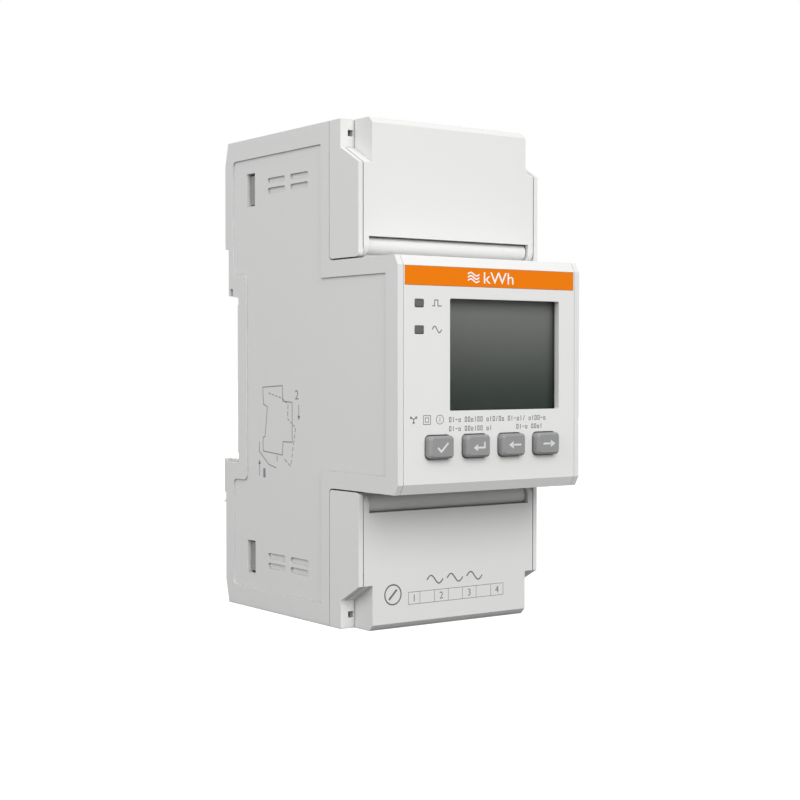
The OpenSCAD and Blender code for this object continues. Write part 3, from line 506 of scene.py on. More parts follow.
FINISHES = {
    "casing_grey": moulded("casing_grey_moulding", (0.69, 0.69, 0.685), (0.65, 0.65, 0.645), 0.55, crease_shadow=1.6),
    "shell_white": moulded("shell_white_moulding", (0.71, 0.71, 0.70), (0.67, 0.67, 0.66), 0.52, crease_shadow=1.2),
    "clip_white": moulded("clip_white_moulding", (0.72, 0.72, 0.70), (0.64, 0.64, 0.62), 0.42, 2600.0),
    "key_grey": moulded("key_grey_moulding", (0.265, 0.267, 0.27), (0.23, 0.232, 0.235), 0.45, 5200.0,
                        light=(0.36, 0.365, 0.37)),
    "terminal_black": moulded("terminal_black_moulding", (0.035, 0.037, 0.04), (0.02, 0.02, 0.022), 0.55,
                              light=(0.12, 0.12, 0.125)),
    "component_black": moulded("component_epoxy", (0.022, 0.022, 0.024), (0.012, 0.012, 0.013), 0.5, 6000.0,
                               light=(0.07, 0.07, 0.07)),
    "contact_rubber": moulded("contact_strip_rubber", (0.50, 0.16, 0.14), (0.38, 0.11, 0.10), 0.7, 7000.0),
    "led_body": glossy("lamp_body", (0.78, 0.74, 0.55), (0.68, 0.62, 0.42), 0.2),
    "light_guide": glossy("backlight_guide", (0.80, 0.82, 0.78), (0.70, 0.73, 0.69), 0.3, 0.1),
    "arrester_blue": glossy("arrester_dip", (0.010, 0.065, 0.32), (0.006, 0.04, 0.22), 0.25, grain=900.0,
                            depth=0.00002),
    "capacitor_sleeve": glossy("capacitor_sleeve", (0.008, 0.013, 0.032), (0.005, 0.008, 0.02), 0.28),
    "ct_blue": moulded("current_transformer_case", (0.008, 0.045, 0.175), (0.006, 0.03, 0.12),
                       light=(0.05, 0.12, 0.30)),
    "spring_steel": metal("clip_spring_wire", (0.42, 0.43, 0.45), (0.28, 0.28, 0.29), 0.25),
    "screw_steel": metal("zinc_plated_screw", (0.52, 0.53, 0.55), (0.38, 0.39, 0.41), scale=1500.0),
    "cage_plated": metal("yellow_plated_cage", (0.52, 0.40, 0.16), (0.40, 0.27, 0.09), 0.32),
    "contact_brass": metal("tinned_brass_bar", (0.58, 0.50, 0.33), (0.46, 0.37, 0.2), 0.28),
    "cell_steel": metal("nickel_plated_cell", (0.55, 0.56, 0.58), (0.42, 0.43, 0.45), 0.25),
    "core_steel": banded("core_laminations", (0.20, 0.205, 0.21), (0.03, 0.03, 0.032), 2000.0, "X", 0.45,
                         0.8),
    "winding_tape": banded("winding_tape", (0.62, 0.40, 0.05), (0.36, 0.20, 0.02), 900.0, "Z", 0.3),
    "board_green": circuit_board("board_solder_mask", (0.012, 0.10, 0.04), (0.008, 0.065, 0.026)),
    "title_orange": title_film(),
    "window_clear": clear_window(),
    "lcd_dark": display_glass(),
    "pipe_smoke": smoke_pipe(),
}
# Painted shade: a darker copy of the white moulding for the lower cover, in the shade under the nose.
LOWER_COVER_PAINTED_SHADE = moulded("lower_cover_painted_shade", (0.675, 0.675, 0.667), (0.635, 0.635, 0.627), 0.52, dust_and_shade=0.1,
                      crease_shadow=0.8)
# Painted shadow: dark grey for the latches deep in the side windows.
LATCH_PAINTED_SHADOW = moulded("latch_painted_shadow", (0.30, 0.30, 0.297), (0.24, 0.24, 0.238), 0.62, crease_shadow=1.4)
INK_GREY = marking_finish("grey_ink", (0.13, 0.13, 0.13), (0.20, 0.20, 0.195))
# Painted shade: the side picture's lines, a relief in the casing's colour, painted dark grey.
PICTURE_PAINTED_SHADE = marking_finish("picture_painted_shade", (0.24, 0.24, 0.24), (0.34, 0.34, 0.335))
KEY_INK = marking_finish("key_ink", (0.66, 0.66, 0.65), (0.54, 0.54, 0.53))
INK_WHITE = marking_finish("white_ink", (0.86, 0.86, 0.85), (0.78, 0.78, 0.77))


def finish(piece, material):
    piece.data.materials.clear()
    piece.data.materials.append(material)


for node, piece in NODES.items():
    finish(piece, FINISHES[SLOT_OF[node]])
# The lower cover takes its painted-shade copy of the moulding.
finish(NODES["terminal_cover_lower"], LOWER_COVER_PAINTED_SHADE)


# ---- softened copies of the CAD pieces ----

def merged_copy(node):
    """A CAD node's mesh with its doubles merged and its flat faces joined.

    The pieces that a wire goes through keep their faces apart, so that the holes in them stay open.
    """
    mesh = NODES[node].data.copy()
    work = bmesh.new()
    work.from_mesh(mesh)
    bmesh.ops.remove_doubles(work, verts=work.verts, dist=0.000002)
    if not node.startswith(("terminal_block_", "cage_")):
        bmesh.ops.dissolve_limit(work, angle_limit=math.radians(0.6), verts=work.verts, edges=work.edges,
                                 delimit=set())
    return mesh, work


def place_piece(name, mesh, slot, body, stands_for=(), material=None):
    """Puts a finished mesh in the scene, on its body and with its finish."""
    piece = bpy.data.objects.new(name, mesh)
    bpy.context.scene.collection.objects.link(piece)
    finish(piece, material or FINISHES[slot])
    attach(piece, body)
    if stands_for:
        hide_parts(*stands_for)
    return piece


CASING_CORNER = high("base_housing")
LATCH_REACH = 1.7 * MM
LATCH_FROM_END = (7.0 * MM, 14.5 * MM)
LATCH_DEPTHS = (-7.0 * MM, -3.5 * MM)


def in_snap_window(place):
    """Whether a point of the front shell is on a latch, deep in a window of a casing side."""
    from_side = CASING_CORNER.x - abs(place.x)
    from_end = CASING_CORNER.z - abs(place.z)
    along = LATCH_FROM_END[0] < from_end < LATCH_FROM_END[1]
    return from_side < LATCH_REACH and along and LATCH_DEPTHS[0] < place.y < LATCH_DEPTHS[1]


def paint_latch_shadows(shell):
    """Gives the four latches a darker, coarser moulding: painted shadow, as they sit deep in the side
    windows.
    """
    shell.data.materials.append(LATCH_PAINTED_SHADOW)
    for face in shell.data.polygons:
        if in_snap_window(face.center):
            face.material_index = 1


FLATTISH = math.radians(28)
ROUNDING_STEPS = 3


def soften(node, radius, least=2.0, turn=35.0):
    """Stands for a CAD node with a copy whose edges are rounded by a radius in millimetres.

    Only edges longer than the least length and turned by more than the turn are rounded.
    """
    mesh, work = merged_copy(node)
    weight = work.edges.layers.float.new("bevel_weight_edge")
    for edge in work.edges:
        if len(edge.link_faces) == 2:
            angle = edge.calc_face_angle(0.0)
            edge.smooth = angle < FLATTISH
            if angle > math.radians(turn) and edge.calc_length() > least * MM:
                edge[weight] = 1.0
    for face in work.faces:
        face.smooth = True
    work.to_mesh(mesh)
    work.free()
    own_finish = NODES[node].data.materials[0]
    piece = place_piece(node + "_soft", mesh, SLOT_OF[node], BODY_OF[node], [node], own_finish)
    if node == "front_shell":
        paint_latch_shadows(piece)
    bevel = piece.modifiers.new("soft_edges", "BEVEL")
    bevel.limit_method = "WEIGHT"
    bevel.width = radius * MM
    bevel.segments = ROUNDING_STEPS
    bevel.use_clamp_overlap = True
    bevel.miter_outer = "MITER_ARC"
    normals = piece.modifiers.new("even_light", "WEIGHTED_NORMAL")
    normals.keep_sharp = True


EDGE_RADII = {
    "base_housing": 0.4, "front_shell": 0.35, "terminal_cover_upper": 0.5, "terminal_cover_lower": 0.5,
    "rail_clip": 0.25, "key_confirm": 0.25, "key_back": 0.25, "key_left": 0.25, "key_right": 0.25,
    "terminal_block_upper": 0.2, "terminal_block_lower": 0.2, "lcd_frame": 0.15, "backlight": 0.2,
    "supply_header": 0.12, "display_header": 0.12, "meter_chip": 0.15, "key_switches": 0.15,
    "indicator_leds": 0.12, "main_board": 0.1, "supply_board": 0.1, "display_board": 0.1,
    "contact_strip": 0.1, "transformer_core": 0.2, "transformer_winding": 0.5, "current_transformer_1": 0.3,
    "current_transformer_2": 0.3, "current_transformer_3": 0.3, "contact_bars_upper": 0.1,
    "contact_bars_lower": 0.1}
for node in nodes_named("cage_"):
    EDGE_RADII[node] = 0.15
for node, radius in EDGE_RADII.items():
    soften(node, radius)
for node in nodes_named("light_pipe_"):
    soften(node, 0.22, least=0.02)
soften("supply_capacitors", 0.3, least=0.02)
soften("surge_arresters", 0.5, least=0.02, turn=60.0)
soften("backup_cell", 0.3, least=0.02, turn=60.0)
soften("title_strip", 0.05, least=1.0)


# ---- pieces that repeat or follow a rule ----

class Shaping:
    """A Geometry Nodes tree with named sizes, whose result is one plain mesh with one finish."""

    def __init__(self, name, sizes):
        self.tree = bpy.data.node_groups.new(name, "GeometryNodeTree")
        self.ids = {}
        for label, value in sizes.items():
            kind = "NodeSocketInt" if isinstance(value, int) else "NodeSocketFloat"
            socket = self.tree.interface.new_socket(label, in_out="INPUT", socket_type=kind)
            socket.default_value = value
            self.ids[label] = socket.identifier
        coat = self.tree.interface.new_socket("Finish", in_out="INPUT", socket_type="NodeSocketMaterial")
        self.ids["Finish"] = coat.identifier
        self.tree.interface.new_socket("Geometry", in_out="OUTPUT", socket_type="NodeSocketGeometry")
        self.sizes = self.tree.nodes.new("NodeGroupInput").outputs
        self.end = self.tree.nodes.new("NodeGroupOutput")

    def add(self, kind, inputs=(), **settings):
        node = self.tree.nodes.new(kind)
        for key, value in settings.items():
            setattr(node, key, value)
        for label, value in dict(inputs).items():
            self.feed(node.inputs[label], value)
        return node

    def feed(self, socket, value):
        if hasattr(value, "is_output"):
            self.tree.links.new(value, socket)
        else:
            socket.default_value = value

    def sum(self, first, second, operation="ADD"):
        node = self.add("ShaderNodeMath", operation=operation)
        self.feed(node.inputs[0], first)
        self.feed(node.inputs[1], second)
        return node.outputs[0]

    def times(self, first, second):
        return self.sum(first, second, "MULTIPLY")

    def less(self, first, second):
        return self.sum(first, second, "SUBTRACT")

    def spot(self, x=0.0, y=0.0, z=0.0):
        return self.add("ShaderNodeCombineXYZ", {"X": x, "Y": y, "Z": z}).outputs[0]

    def moved(self, shape, place=None, turn=None):
        inputs = {"Geometry": shape}
        if place is not None:
            inputs["Translation"] = place
        if turn is not None:
            inputs["Rotation"] = turn
        return self.add("GeometryNodeTransform", inputs).outputs[0]

    def joined(self, *shapes):
        node = self.add("GeometryNodeJoinGeometry")
        for shape in shapes:
            self.tree.links.new(shape, node.inputs[0])
        return node.outputs[0]

    def drum(self, radius, height, sides=32, top=None):
        """A round block standing on its foot, or one that narrows to its top."""
        inputs = {"Vertices": sides, "Radius Bottom": radius, "Radius Top": radius if top is None else top,
                  "Depth": height}
        return self.add("GeometryNodeMeshCone", inputs, fill_type="NGON").outputs["Mesh"]

    def block(self, x, y, z):
        return self.add("GeometryNodeMeshCube", {"Size": self.spot(x, y, z)}).outputs["Mesh"]

    def cut(self, shape, *tools):
        node = self.add("GeometryNodeMeshBoolean", {"Mesh 1": shape}, operation="DIFFERENCE", solver="EXACT")
        for tool in tools:
            self.tree.links.new(tool, node.inputs["Mesh 2"])
        return node.outputs["Mesh"]

    def swept(self, path, outline):
        inputs = {"Curve": path, "Profile Curve": outline, "Fill Caps": True}
        return self.add("GeometryNodeCurveToMesh", inputs).outputs["Mesh"]

    def repeated(self, shape, count, step):
        """Copies of a shape along a straight row."""
        row = self.add("GeometryNodeMeshLine", {"Count": count, "Offset": step}, mode="OFFSET")
        return self.add("GeometryNodeInstanceOnPoints",
                        {"Points": row.outputs["Mesh"], "Instance": shape}).outputs["Instances"]

    def done(self, shape, smooth=True):
        real = self.add("GeometryNodeRealizeInstances", {"Geometry": shape}).outputs["Geometry"]
        if smooth:
            real = self.add("GeometryNodeSetShadeSmooth", {"Geometry": real}).outputs[0]
        coat = self.add("GeometryNodeSetMaterial", {"Geometry": real, "Material": self.sizes["Finish"]})
        self.tree.links.new(coat.outputs["Geometry"], self.end.inputs[0])
        return self

    def made(self, material, turn=None, place=(0.0, 0.0, 0.0), **sizes):
        """The plain mesh that the tree gives for these sizes, put in its place."""
        blank = bpy.data.objects.new(self.tree.name, bpy.data.meshes.new(self.tree.name))
        bpy.context.scene.collection.objects.link(blank)
        step = blank.modifiers.new("shape", "NODES")
        step.node_group = self.tree
        for label, value in sizes.items():
            step[self.ids[label.replace("_", " ")]] = value
        step[self.ids["Finish"]] = material
        whole = blank.evaluated_get(bpy.context.evaluated_depsgraph_get())
        mesh = bpy.data.meshes.new_from_object(whole)
        blank.modifiers.remove(step)
        bpy.data.objects.remove(blank)
        mesh.transform(Matrix.Translation(place) @ (turn or Matrix.Identity(4)))
        return mesh


def sharpened(mesh, turn=32.0):
    """Keeps the creases of a smooth mesh crisp where it turns by more than an angle."""
    work = bmesh.new()
    work.from_mesh(mesh)
    bmesh.ops.remove_doubles(work, verts=work.verts, dist=0.0000005)
    for edge in work.edges:
        edge.smooth = len(edge.link_faces) == 2 and edge.calc_face_angle(0.0) < math.radians(turn)
    work.to_mesh(mesh)
    work.free()
    return mesh


TO_FRONT = Matrix.Rotation(math.radians(90), 4, "X")
TO_REAR = Matrix.Rotation(math.radians(-90), 4, "X")


def clamp_screw_tree():
    """Terminal screw standing on its tip: threaded shank and bevelled head with a crossed slot."""
    shape = Shaping("clamp_screw", {"Head radius": 0.002, "Head height": 0.0016, "Shank radius": 0.0015,
                                    "Shank length": 0.006, "Pitch": 0.0005, "Thread depth": 0.00022,
                                    "Slot width": 0.0005, "Slot depth": 0.0007, "Bevel": 0.0002})
    size = shape.sizes
    core = shape.less(size["Shank radius"], size["Thread depth"])
    tip = shape.times(size["Thread depth"], 2.0)
    point = shape.drum(shape.less(core, tip), tip, top=core)
    shank = shape.moved(shape.drum(core, shape.less(size["Shank length"], tip)), shape.spot(z=tip))
    threaded = shape.less(size["Shank length"], shape.times(size["Pitch"], 2.5))
    turns = shape.sum(threaded, size["Pitch"], "DIVIDE")
    helix = shape.add("GeometryNodeCurveSpiral",
                      {"Resolution": 24, "Rotations": turns, "Start Radius": core, "End Radius": core,
                       "Height": threaded}).outputs["Curve"]
    ridge = shape.add("GeometryNodeCurvePrimitiveCircle", {"Resolution": 4, "Radius": size["Thread depth"]},
                      mode="RADIUS").outputs["Curve"]
    thread = shape.moved(shape.swept(helix, ridge), shape.spot(z=size["Pitch"]))
    straight = shape.less(size["Head height"], shape.times(size["Bevel"], 2.0))
    lower = shape.drum(shape.less(size["Head radius"], size["Bevel"]), size["Bevel"], top=size["Head radius"])
    rim = shape.moved(shape.drum(size["Head radius"], straight), shape.spot(z=size["Bevel"]))
    upper = shape.moved(shape.drum(size["Head radius"], size["Bevel"],
                                   top=shape.less(size["Head radius"], size["Bevel"])),
                        shape.spot(z=shape.less(size["Head height"], size["Bevel"])))
    union = shape.add("GeometryNodeMeshBoolean", operation="UNION", solver="EXACT")
    for piece in (lower, rim, upper):
        shape.tree.links.new(piece, union.inputs["Mesh 2"])
    wide = shape.times(size["Head radius"], 3.0)
    tall = shape.times(size["Slot depth"], 2.0)
    narrow = shape.times(size["Slot width"], 0.62)
    top = shape.spot(z=size["Head height"])
    slot = shape.moved(shape.block(wide, size["Slot width"], tall), top)
    cross = shape.moved(shape.block(narrow, shape.times(size["Head radius"], 1.3), tall), top)
    head = shape.moved(shape.cut(union.outputs["Mesh"], slot, cross), shape.spot(z=size["Shank length"]))
    return shape.done(shape.joined(point, shank, thread, head))


def spring_tree():
    """Wound wire spring standing on its foot, with two close turns at each end."""
    shape = Shaping("wound_spring",
                    {"Radius": 0.0011, "Wire radius": 0.00022, "Height": 0.0089, "Turns": 7.0})
    size = shape.sizes
    close = shape.times(size["Wire radius"], 2.15)
    inner = shape.less(size["Height"], shape.times(size["Wire radius"], 2.0))
    free = shape.less(inner, shape.times(close, 2.0))
    ring = shape.add("GeometryNodeCurvePrimitiveCircle", {"Resolution": 10, "Radius": size["Wire radius"]},
                     mode="RADIUS").outputs["Curve"]
    parts = []
    for turns, height, start in ((1.0, close, 0.0), (size["Turns"], free, close), (1.0, close, None)):
        coil = shape.add("GeometryNodeCurveSpiral",
                         {"Resolution": 28, "Rotations": turns, "Start Radius": size["Radius"],
                          "End Radius": size["Radius"], "Height": height}).outputs["Curve"]
        foot = shape.sum(close, free) if start is None else start
        parts.append(shape.moved(shape.swept(coil, ring), shape.spot(z=shape.sum(foot, size["Wire radius"]))))
    return shape.done(shape.joined(*parts))


def chip_leg_tree():
    """Four rows of bent legs round a square chip that lies on its board, whose face is at Z 0."""
    shape = Shaping("chip_legs", {"Body half width": 0.005, "Legs": 12, "Pitch": 0.0008, "Leg width": 0.0003,
                                  "Leg thickness": 0.00015, "Reach": 0.0009, "Shoulder": 0.0008})
    size = shape.sizes
    out = shape.block(size["Leg width"], shape.times(size["Reach"], 0.6), size["Leg thickness"])
    out = shape.moved(out, shape.spot(y=shape.times(size["Reach"], 0.25), z=size["Shoulder"]))
    down = shape.block(size["Leg width"], size["Leg thickness"], size["Shoulder"])
    half_height = shape.sum(shape.times(size["Shoulder"], 0.5), size["Leg thickness"])
    down = shape.moved(down, shape.spot(y=shape.times(size["Reach"], 0.52), z=half_height))
    foot = shape.block(size["Leg width"], shape.times(size["Reach"], 0.5), size["Leg thickness"])
    foot = shape.moved(foot, shape.spot(y=shape.times(size["Reach"], 0.75), z=size["Leg thickness"]))
    leg = shape.joined(out, down, foot)
    row = shape.repeated(leg, size["Legs"], shape.spot(x=size["Pitch"]))
    first = shape.times(shape.times(size["Pitch"], shape.less(size["Legs"], 1.0)), -0.5)
    row = shape.moved(row, shape.spot(x=first, y=size["Body half width"]))
    sides = [shape.moved(row, turn=(0.0, 0.0, math.radians(90.0 * quarter))) for quarter in range(4)]
    return shape.done(shape.joined(*sides), smooth=False)


def header_pin_tree():
    """Two rows of square pins with pointed ends, standing on Z 0."""
    shape = Shaping("header_pins", {"Pins": 5, "Pitch": 0.00254, "Pin width": 0.0006, "Pin length": 0.006})
    size = shape.sizes
    half_across = shape.times(size["Pin width"], 0.7071)
    point = shape.times(size["Pin width"], 0.6)
    body = shape.less(size["Pin length"], shape.times(point, 2.0))
    blunt = shape.times(half_across, 0.45)
    lower = shape.drum(blunt, point, 4, top=half_across)
    shaft = shape.moved(shape.drum(half_across, body, 4), shape.spot(z=point))
    upper = shape.moved(shape.drum(half_across, point, 4, top=blunt), shape.spot(z=shape.sum(point, body)))
    pin = shape.moved(shape.joined(lower, shaft, upper), turn=(0.0, 0.0, math.radians(45)))
    row = shape.repeated(pin, size["Pins"], shape.spot(x=size["Pitch"]))
    first = shape.times(shape.times(size["Pitch"], shape.less(size["Pins"], 1.0)), -0.5)
    half = shape.times(size["Pitch"], 0.5)
    rows = [shape.moved(row, shape.spot(x=first, y=side)) for side in (half, shape.times(half, -1.0))]
    return shape.done(shape.joined(*rows), smooth=False)


def thread_pitch(node):
    """The rise of one turn, from the coupling between a screw and its cage."""
    ratio = next(pair["ratio"] for pair in frame["record"]["behaviour"]["couplings"]
                 if pair["joint"] == node + "_turn")
    return math.tau / ratio


SCREW_HEAD_HEIGHT = 1.6 * MM
SPRING_WIRE_RADIUS = 0.22 * MM


def terminal_screws():
    tree = clamp_screw_tree()
    for node in nodes_named("screw_"):
        head = (high(node).x - low(node).x) / 2
        place = middle(node)
        shank = head - 0.6 * MM
        length = high(node).y - low(node).y - SCREW_HEAD_HEIGHT
        slot = 0.55 * MM if "lower" in node else 0.45 * MM
        spin = Matrix.Rotation(math.radians(37.0 * int(node[-1])), 4, "Z")
        mesh = tree.made(FINISHES[SLOT_OF[node]], TO_FRONT @ spin, (place.x, high(node).y, place.z),
                         Head_radius=head, Head_height=SCREW_HEAD_HEIGHT, Shank_radius=shank,
                         Shank_length=length, Pitch=thread_pitch(node), Slot_width=slot)
        place_piece(node + "_threaded", sharpened(mesh), SLOT_OF[node], BODY_OF[node], [node])


def clip_coil():
    node = "clip_spring"
    foot = Vector((middle(node).x, middle(node).y, low(node).z))
    free = high(node).z - low(node).z
    radius = (high(node).x - low(node).x) / 2 - SPRING_WIRE_RADIUS
    mesh = spring_tree().made(FINISHES[SLOT_OF[node]], None, foot, Radius=radius,
                              Wire_radius=SPRING_WIRE_RADIUS, Height=free)
    coil = place_piece("clip_spring_wound", mesh, SLOT_OF[node], BODY_OF[node], [node])
    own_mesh(coil)


def chip_legs():
    node = "meter_chip"
    centre = middle(node)
    board_face = high("display_board").y
    mesh = chip_leg_tree().made(FINISHES["screw_steel"], TO_REAR, (centre.x, board_face, centre.z),
                                Body_half_width=(high(node).x - low(node).x) / 2)
    place_piece("meter_chip_legs", mesh, "screw_steel", BODY_OF[node])


def header_pins():
    tree = header_pin_tree()
    for node in ("supply_header", "display_header"):
        centre = middle(node)
        length = high(node).y - low(node).y
        mesh = tree.made(FINISHES["contact_brass"], TO_FRONT, (centre.x, high(node).y, centre.z),
                         Pin_length=length, Pin_width=0.62 * MM)
        place_piece(node + "_pins", mesh, "contact_brass", BODY_OF[node])


terminal_screws()
clip_coil()
chip_legs()
header_pins()


# ---- marks printed or moulded on a face ----

def unit_normal(start, end):
    along = (end - start).normalized()
    return Vector((-along.y, along.x))


def stroke_sides(points, width, closed):
    """The left and right edges of a stroke of even width along a line of points."""
    points = [Vector(point) for point in points]
    count = len(points)
    left, right = [], []
    for i, point in enumerate(points):
        before = points[i - 1] if closed or i > 0 else None
        after = points[(i + 1) % count] if closed or i < count - 1 else None
        normals = [unit_normal(a, b) for a, b in ((before, point), (point, after))
                   if a is not None and b is not None]
        bisector = sum(normals, Vector((0.0, 0.0))).normalized()
        reach = width / 2 / max(0.35, bisector.dot(normals[0]))
        left.append(point + bisector * reach)
        right.append(point - bisector * reach)
    return left, right


class Marks:
    """Thin closed marks on one flat face, gathered into one mesh. Sizes are in millimetres."""

    def __init__(self, name, corner, across, up, sunk=0.01, proud=0.006):
        self.name = name
        self.corner = Vector(corner)
        self.across = Vector(across)
        self.up = Vector(up)
        self.out = self.across.cross(self.up)
        self.levels = (-sunk, proud)
        self.work = bmesh.new()

    def point(self, place, level):
        spot = self.corner + (self.across * place[0] + self.up * place[1] + self.out * level) * MM
        return self.work.verts.new(spot)

    def fill(self, outline):
        """A closed shape, raised between the two levels."""
        area = sum(a[0] * b[1] - b[0] * a[1] for a, b in zip(outline, outline[1:] + outline[:1]))
        if area < 0:
            outline = outline[::-1]
        foot = [self.point(place, self.levels[0]) for place in outline]
        top = [self.point(place, self.levels[1]) for place in outline]
        self.work.faces.new(top)
        self.work.faces.new(foot[::-1])
        for i in range(len(outline)):
            j = (i + 1) % len(outline)
            self.work.faces.new([foot[i], foot[j], top[j], top[i]])

    def line(self, points, width, closed=False):
        """A stroke along the points, as one closed shape or ring."""
        left, right = stroke_sides(points, width, closed)
        if not closed:
            self.fill([tuple(place) for place in left + right[::-1]])
            return
        foot_left, top_left, foot_right, top_right = [
            [self.point(place, level) for place in side] for side in (left, right) for level in self.levels]
        pairs = ((top_right, top_left), (foot_left, foot_right), (top_left, foot_left),
                 (foot_right, top_right))
        for i in range(len(points)):
            j = (i + 1) % len(points)
            for first, second in pairs:
                self.work.faces.new([first[i], first[j], second[j], second[i]])

    def words(self, text, height, middle, width=None):
        """Generic characters from the built-in face, centred, with the height of a capital."""
        curve = bpy.data.curves.new(text, "FONT")
        curve.body = text
        curve.resolution_u = 4
        curve.extrude = 0.5
        holder = bpy.data.objects.new(text, curve)
        bpy.context.scene.collection.objects.link(holder)
        shape = bpy.data.meshes.new_from_object(holder.evaluated_get(bpy.context.evaluated_depsgraph_get()))
        bpy.data.objects.remove(holder)
        spots = [vertex.co.copy() for vertex in shape.vertices]
        lows = [min(spot[k] for spot in spots) for k in range(3)]
        highs = [max(spot[k] for spot in spots) for k in range(3)]
        tall = height / (highs[1] - lows[1])
        wide = width / (highs[0] - lows[0]) if width else tall
        for vertex in shape.vertices:
            u = middle[0] + (vertex.co.x - (lows[0] + highs[0]) / 2) * wide
            v = middle[1] + (vertex.co.y - (lows[1] + highs[1]) / 2) * tall
            level = self.levels[1] if vertex.co.z > 0 else self.levels[0]
            vertex.co = self.corner + (self.across * u + self.up * v + self.out * level) * MM
        self.work.from_mesh(shape)

    def done(self, slot, body, material):
        bmesh.ops.remove_doubles(self.work, verts=self.work.verts, dist=0.0000004)
        bmesh.ops.recalc_face_normals(self.work, faces=self.work.faces)
        mesh = bpy.data.meshes.new(self.name)
        self.work.to_mesh(mesh)
        self.work.free()
        return place_piece(self.name, mesh, slot, body, material=material)


def ring_points(middle, radius, count=28):
    turns = [math.tau * i / count for i in range(count)]
    return [(middle[0] + radius * math.cos(turn), middle[1] + radius * math.sin(turn)) for turn in turns]


def wave_points(start, end, height, count=16):
    """One sine wave from one point to another on the same level."""
    return [(start[0] + (end[0] - start[0]) * i / count, start[1] + height * math.sin(math.tau * i / count))
            for i in range(count + 1)]


def box_points(left, right, foot, top):
    return [(left, foot), (right, foot), (right, top), (left, top)]


RIGHT = (1.0, 0.0, 0.0)
FORWARD = (0.0, -1.0, 0.0)
UP = (0.0, 0.0, 1.0)
NOSE_FACE = low("base_housing").y


def title_marks():
    """Generic unit sign on the title strip."""
    strip = middle("title_strip")
    marks = Marks("title_sign", (0.0, low("title_strip").y, 0.0), RIGHT, UP)
    level = strip.z / MM
    marks.words("kWh", 2.2, (1.6, level), 7.4)
    for rise in (-0.62, 0.0, 0.62):
        marks.line(wave_points((-6.0, level + rise), (-3.2, level + rise), 0.32), 0.27)
    marks.done("shell_white", "casing", INK_WHITE)


def lamp_marks():
    """A pulse and a wave beside the two lamps."""
    marks = Marks("lamp_signs", (0.0, NOSE_FACE, 0.0), RIGHT, UP)
    left, right = -14.5, -12.3
    foot, top = 13.05, 14.15
    step = (right - left) / 4
    marks.line([(left, foot), (left + step, foot), (left + step, top), (left + 2.4 * step, top),
                (left + 2.4 * step, foot), (right, foot)], 0.2)
    marks.line(wave_points((left, 8.6), (right, 8.6), 0.62), 0.22)
    marks.done("component_black", "casing", INK_GREY)


def class_marks():
    """Generic signs of star connection, double insulation and one tariff, left of the rating lines."""
    marks = Marks("class_signs", (0.0, NOSE_FACE, 0.0), RIGHT, UP)
    hub = (-18.85, -8.3)
    for angle in (90 + 60, 90 - 60, -90):
        arm = (hub[0] + 0.72 * math.cos(math.radians(angle)), hub[1] + 0.66 * math.sin(math.radians(angle)))
        marks.line([hub, arm], 0.17)
        marks.line(ring_points(arm, 0.17, 12), 0.14, closed=True)
    marks.line(box_points(-16.55, -14.9, -9.3, -7.65), 0.13, closed=True)
    marks.line(box_points(-16.13, -15.32, -8.88, -8.07), 0.13, closed=True)
    marks.line(ring_points((-12.68, -8.45), 0.86), 0.13, closed=True)
    marks.words("1", 0.95, (-12.68, -8.45))
    marks.done("component_black", "casing", INK_GREY)


def rating_marks():
    """Rows of unreadable filler strokes where a rating plate's lines would be."""
    marks = Marks("rating_rows", (0.0, NOSE_FACE, 0.0), RIGHT, UP)
    forms = "ring", "bar", "dash", "small", "bar", "ring", "slash", "ring", "small", "bar", "ring"
    rows = ((-10.5, 15.3, -9.0, 0.98), (-10.5, 0.2, -10.72, 0.94), (6.1, 13.4, -10.62, 0.92))
    wide = 0.52
    for start, end, foot, tall in rows:
        for i in range(int((end - start) / (wide + 0.24))):
            left = start + i * (wide + 0.24)
            right = left + wide
            form = forms[(i + i // 6) % len(forms)]
            if i % 7 == 4:
                continue
            if form == "ring":
                marks.line(box_points(left + 0.07, right - 0.07, foot + 0.07, foot + tall - 0.07), 0.15, True)
            elif form == "small":
                marks.line(box_points(left + 0.07, right - 0.07, foot + 0.07, foot + tall * 0.62), 0.15, True)
            elif form == "bar":
                marks.line([(left + wide / 2, foot), (left + wide / 2, foot + tall)], 0.16)
            elif form == "dash":
                marks.line([(left, foot + tall / 2), (right, foot + tall / 2)], 0.16)
            else:
                marks.line([(left + 0.1, foot), (right - 0.1, foot + tall)], 0.15)
    marks.done("component_black", "casing", INK_GREY)


def arrow(marks, middle, length, sense):
    """A straight arrow with a filled head; sense is 1 to the right and -1 to the left."""
    tail = middle[0] - sense * length / 2
    neck = middle[0] + sense * length * 0.12
    tip = middle[0] + sense * length / 2
    marks.line([(tail, middle[1]), (neck + sense * 0.1, middle[1])], 0.36)
    marks.fill([(neck, middle[1] - 0.72), (tip, middle[1]), (neck, middle[1] + 0.72)])


def key_marks():
    """Pale signs on the keys: tick, return, left and right."""
    for key in ("confirm", "back", "left", "right"):
        node = "key_" + key
        centre = middle(node)
        marks = Marks(node + "_sign", (centre.x, low(node).y, centre.z), RIGHT, UP, proud=0.003)
        if key == "confirm":
            marks.line([(-1.2, -0.05), (-0.4, -0.8), (1.25, 0.8)], 0.38)
        elif key == "back":
            marks.line([(1.25, 0.8), (1.25, -0.3), (-0.5, -0.3)], 0.36)
            marks.fill([(-0.4, -0.98), (-1.45, -0.3), (-0.4, 0.38)])
        else:
            arrow(marks, (0.0, 0.0), 3.1, 1 if key == "right" else -1)
        marks.done("shell_white", BODY_OF[node], KEY_INK)


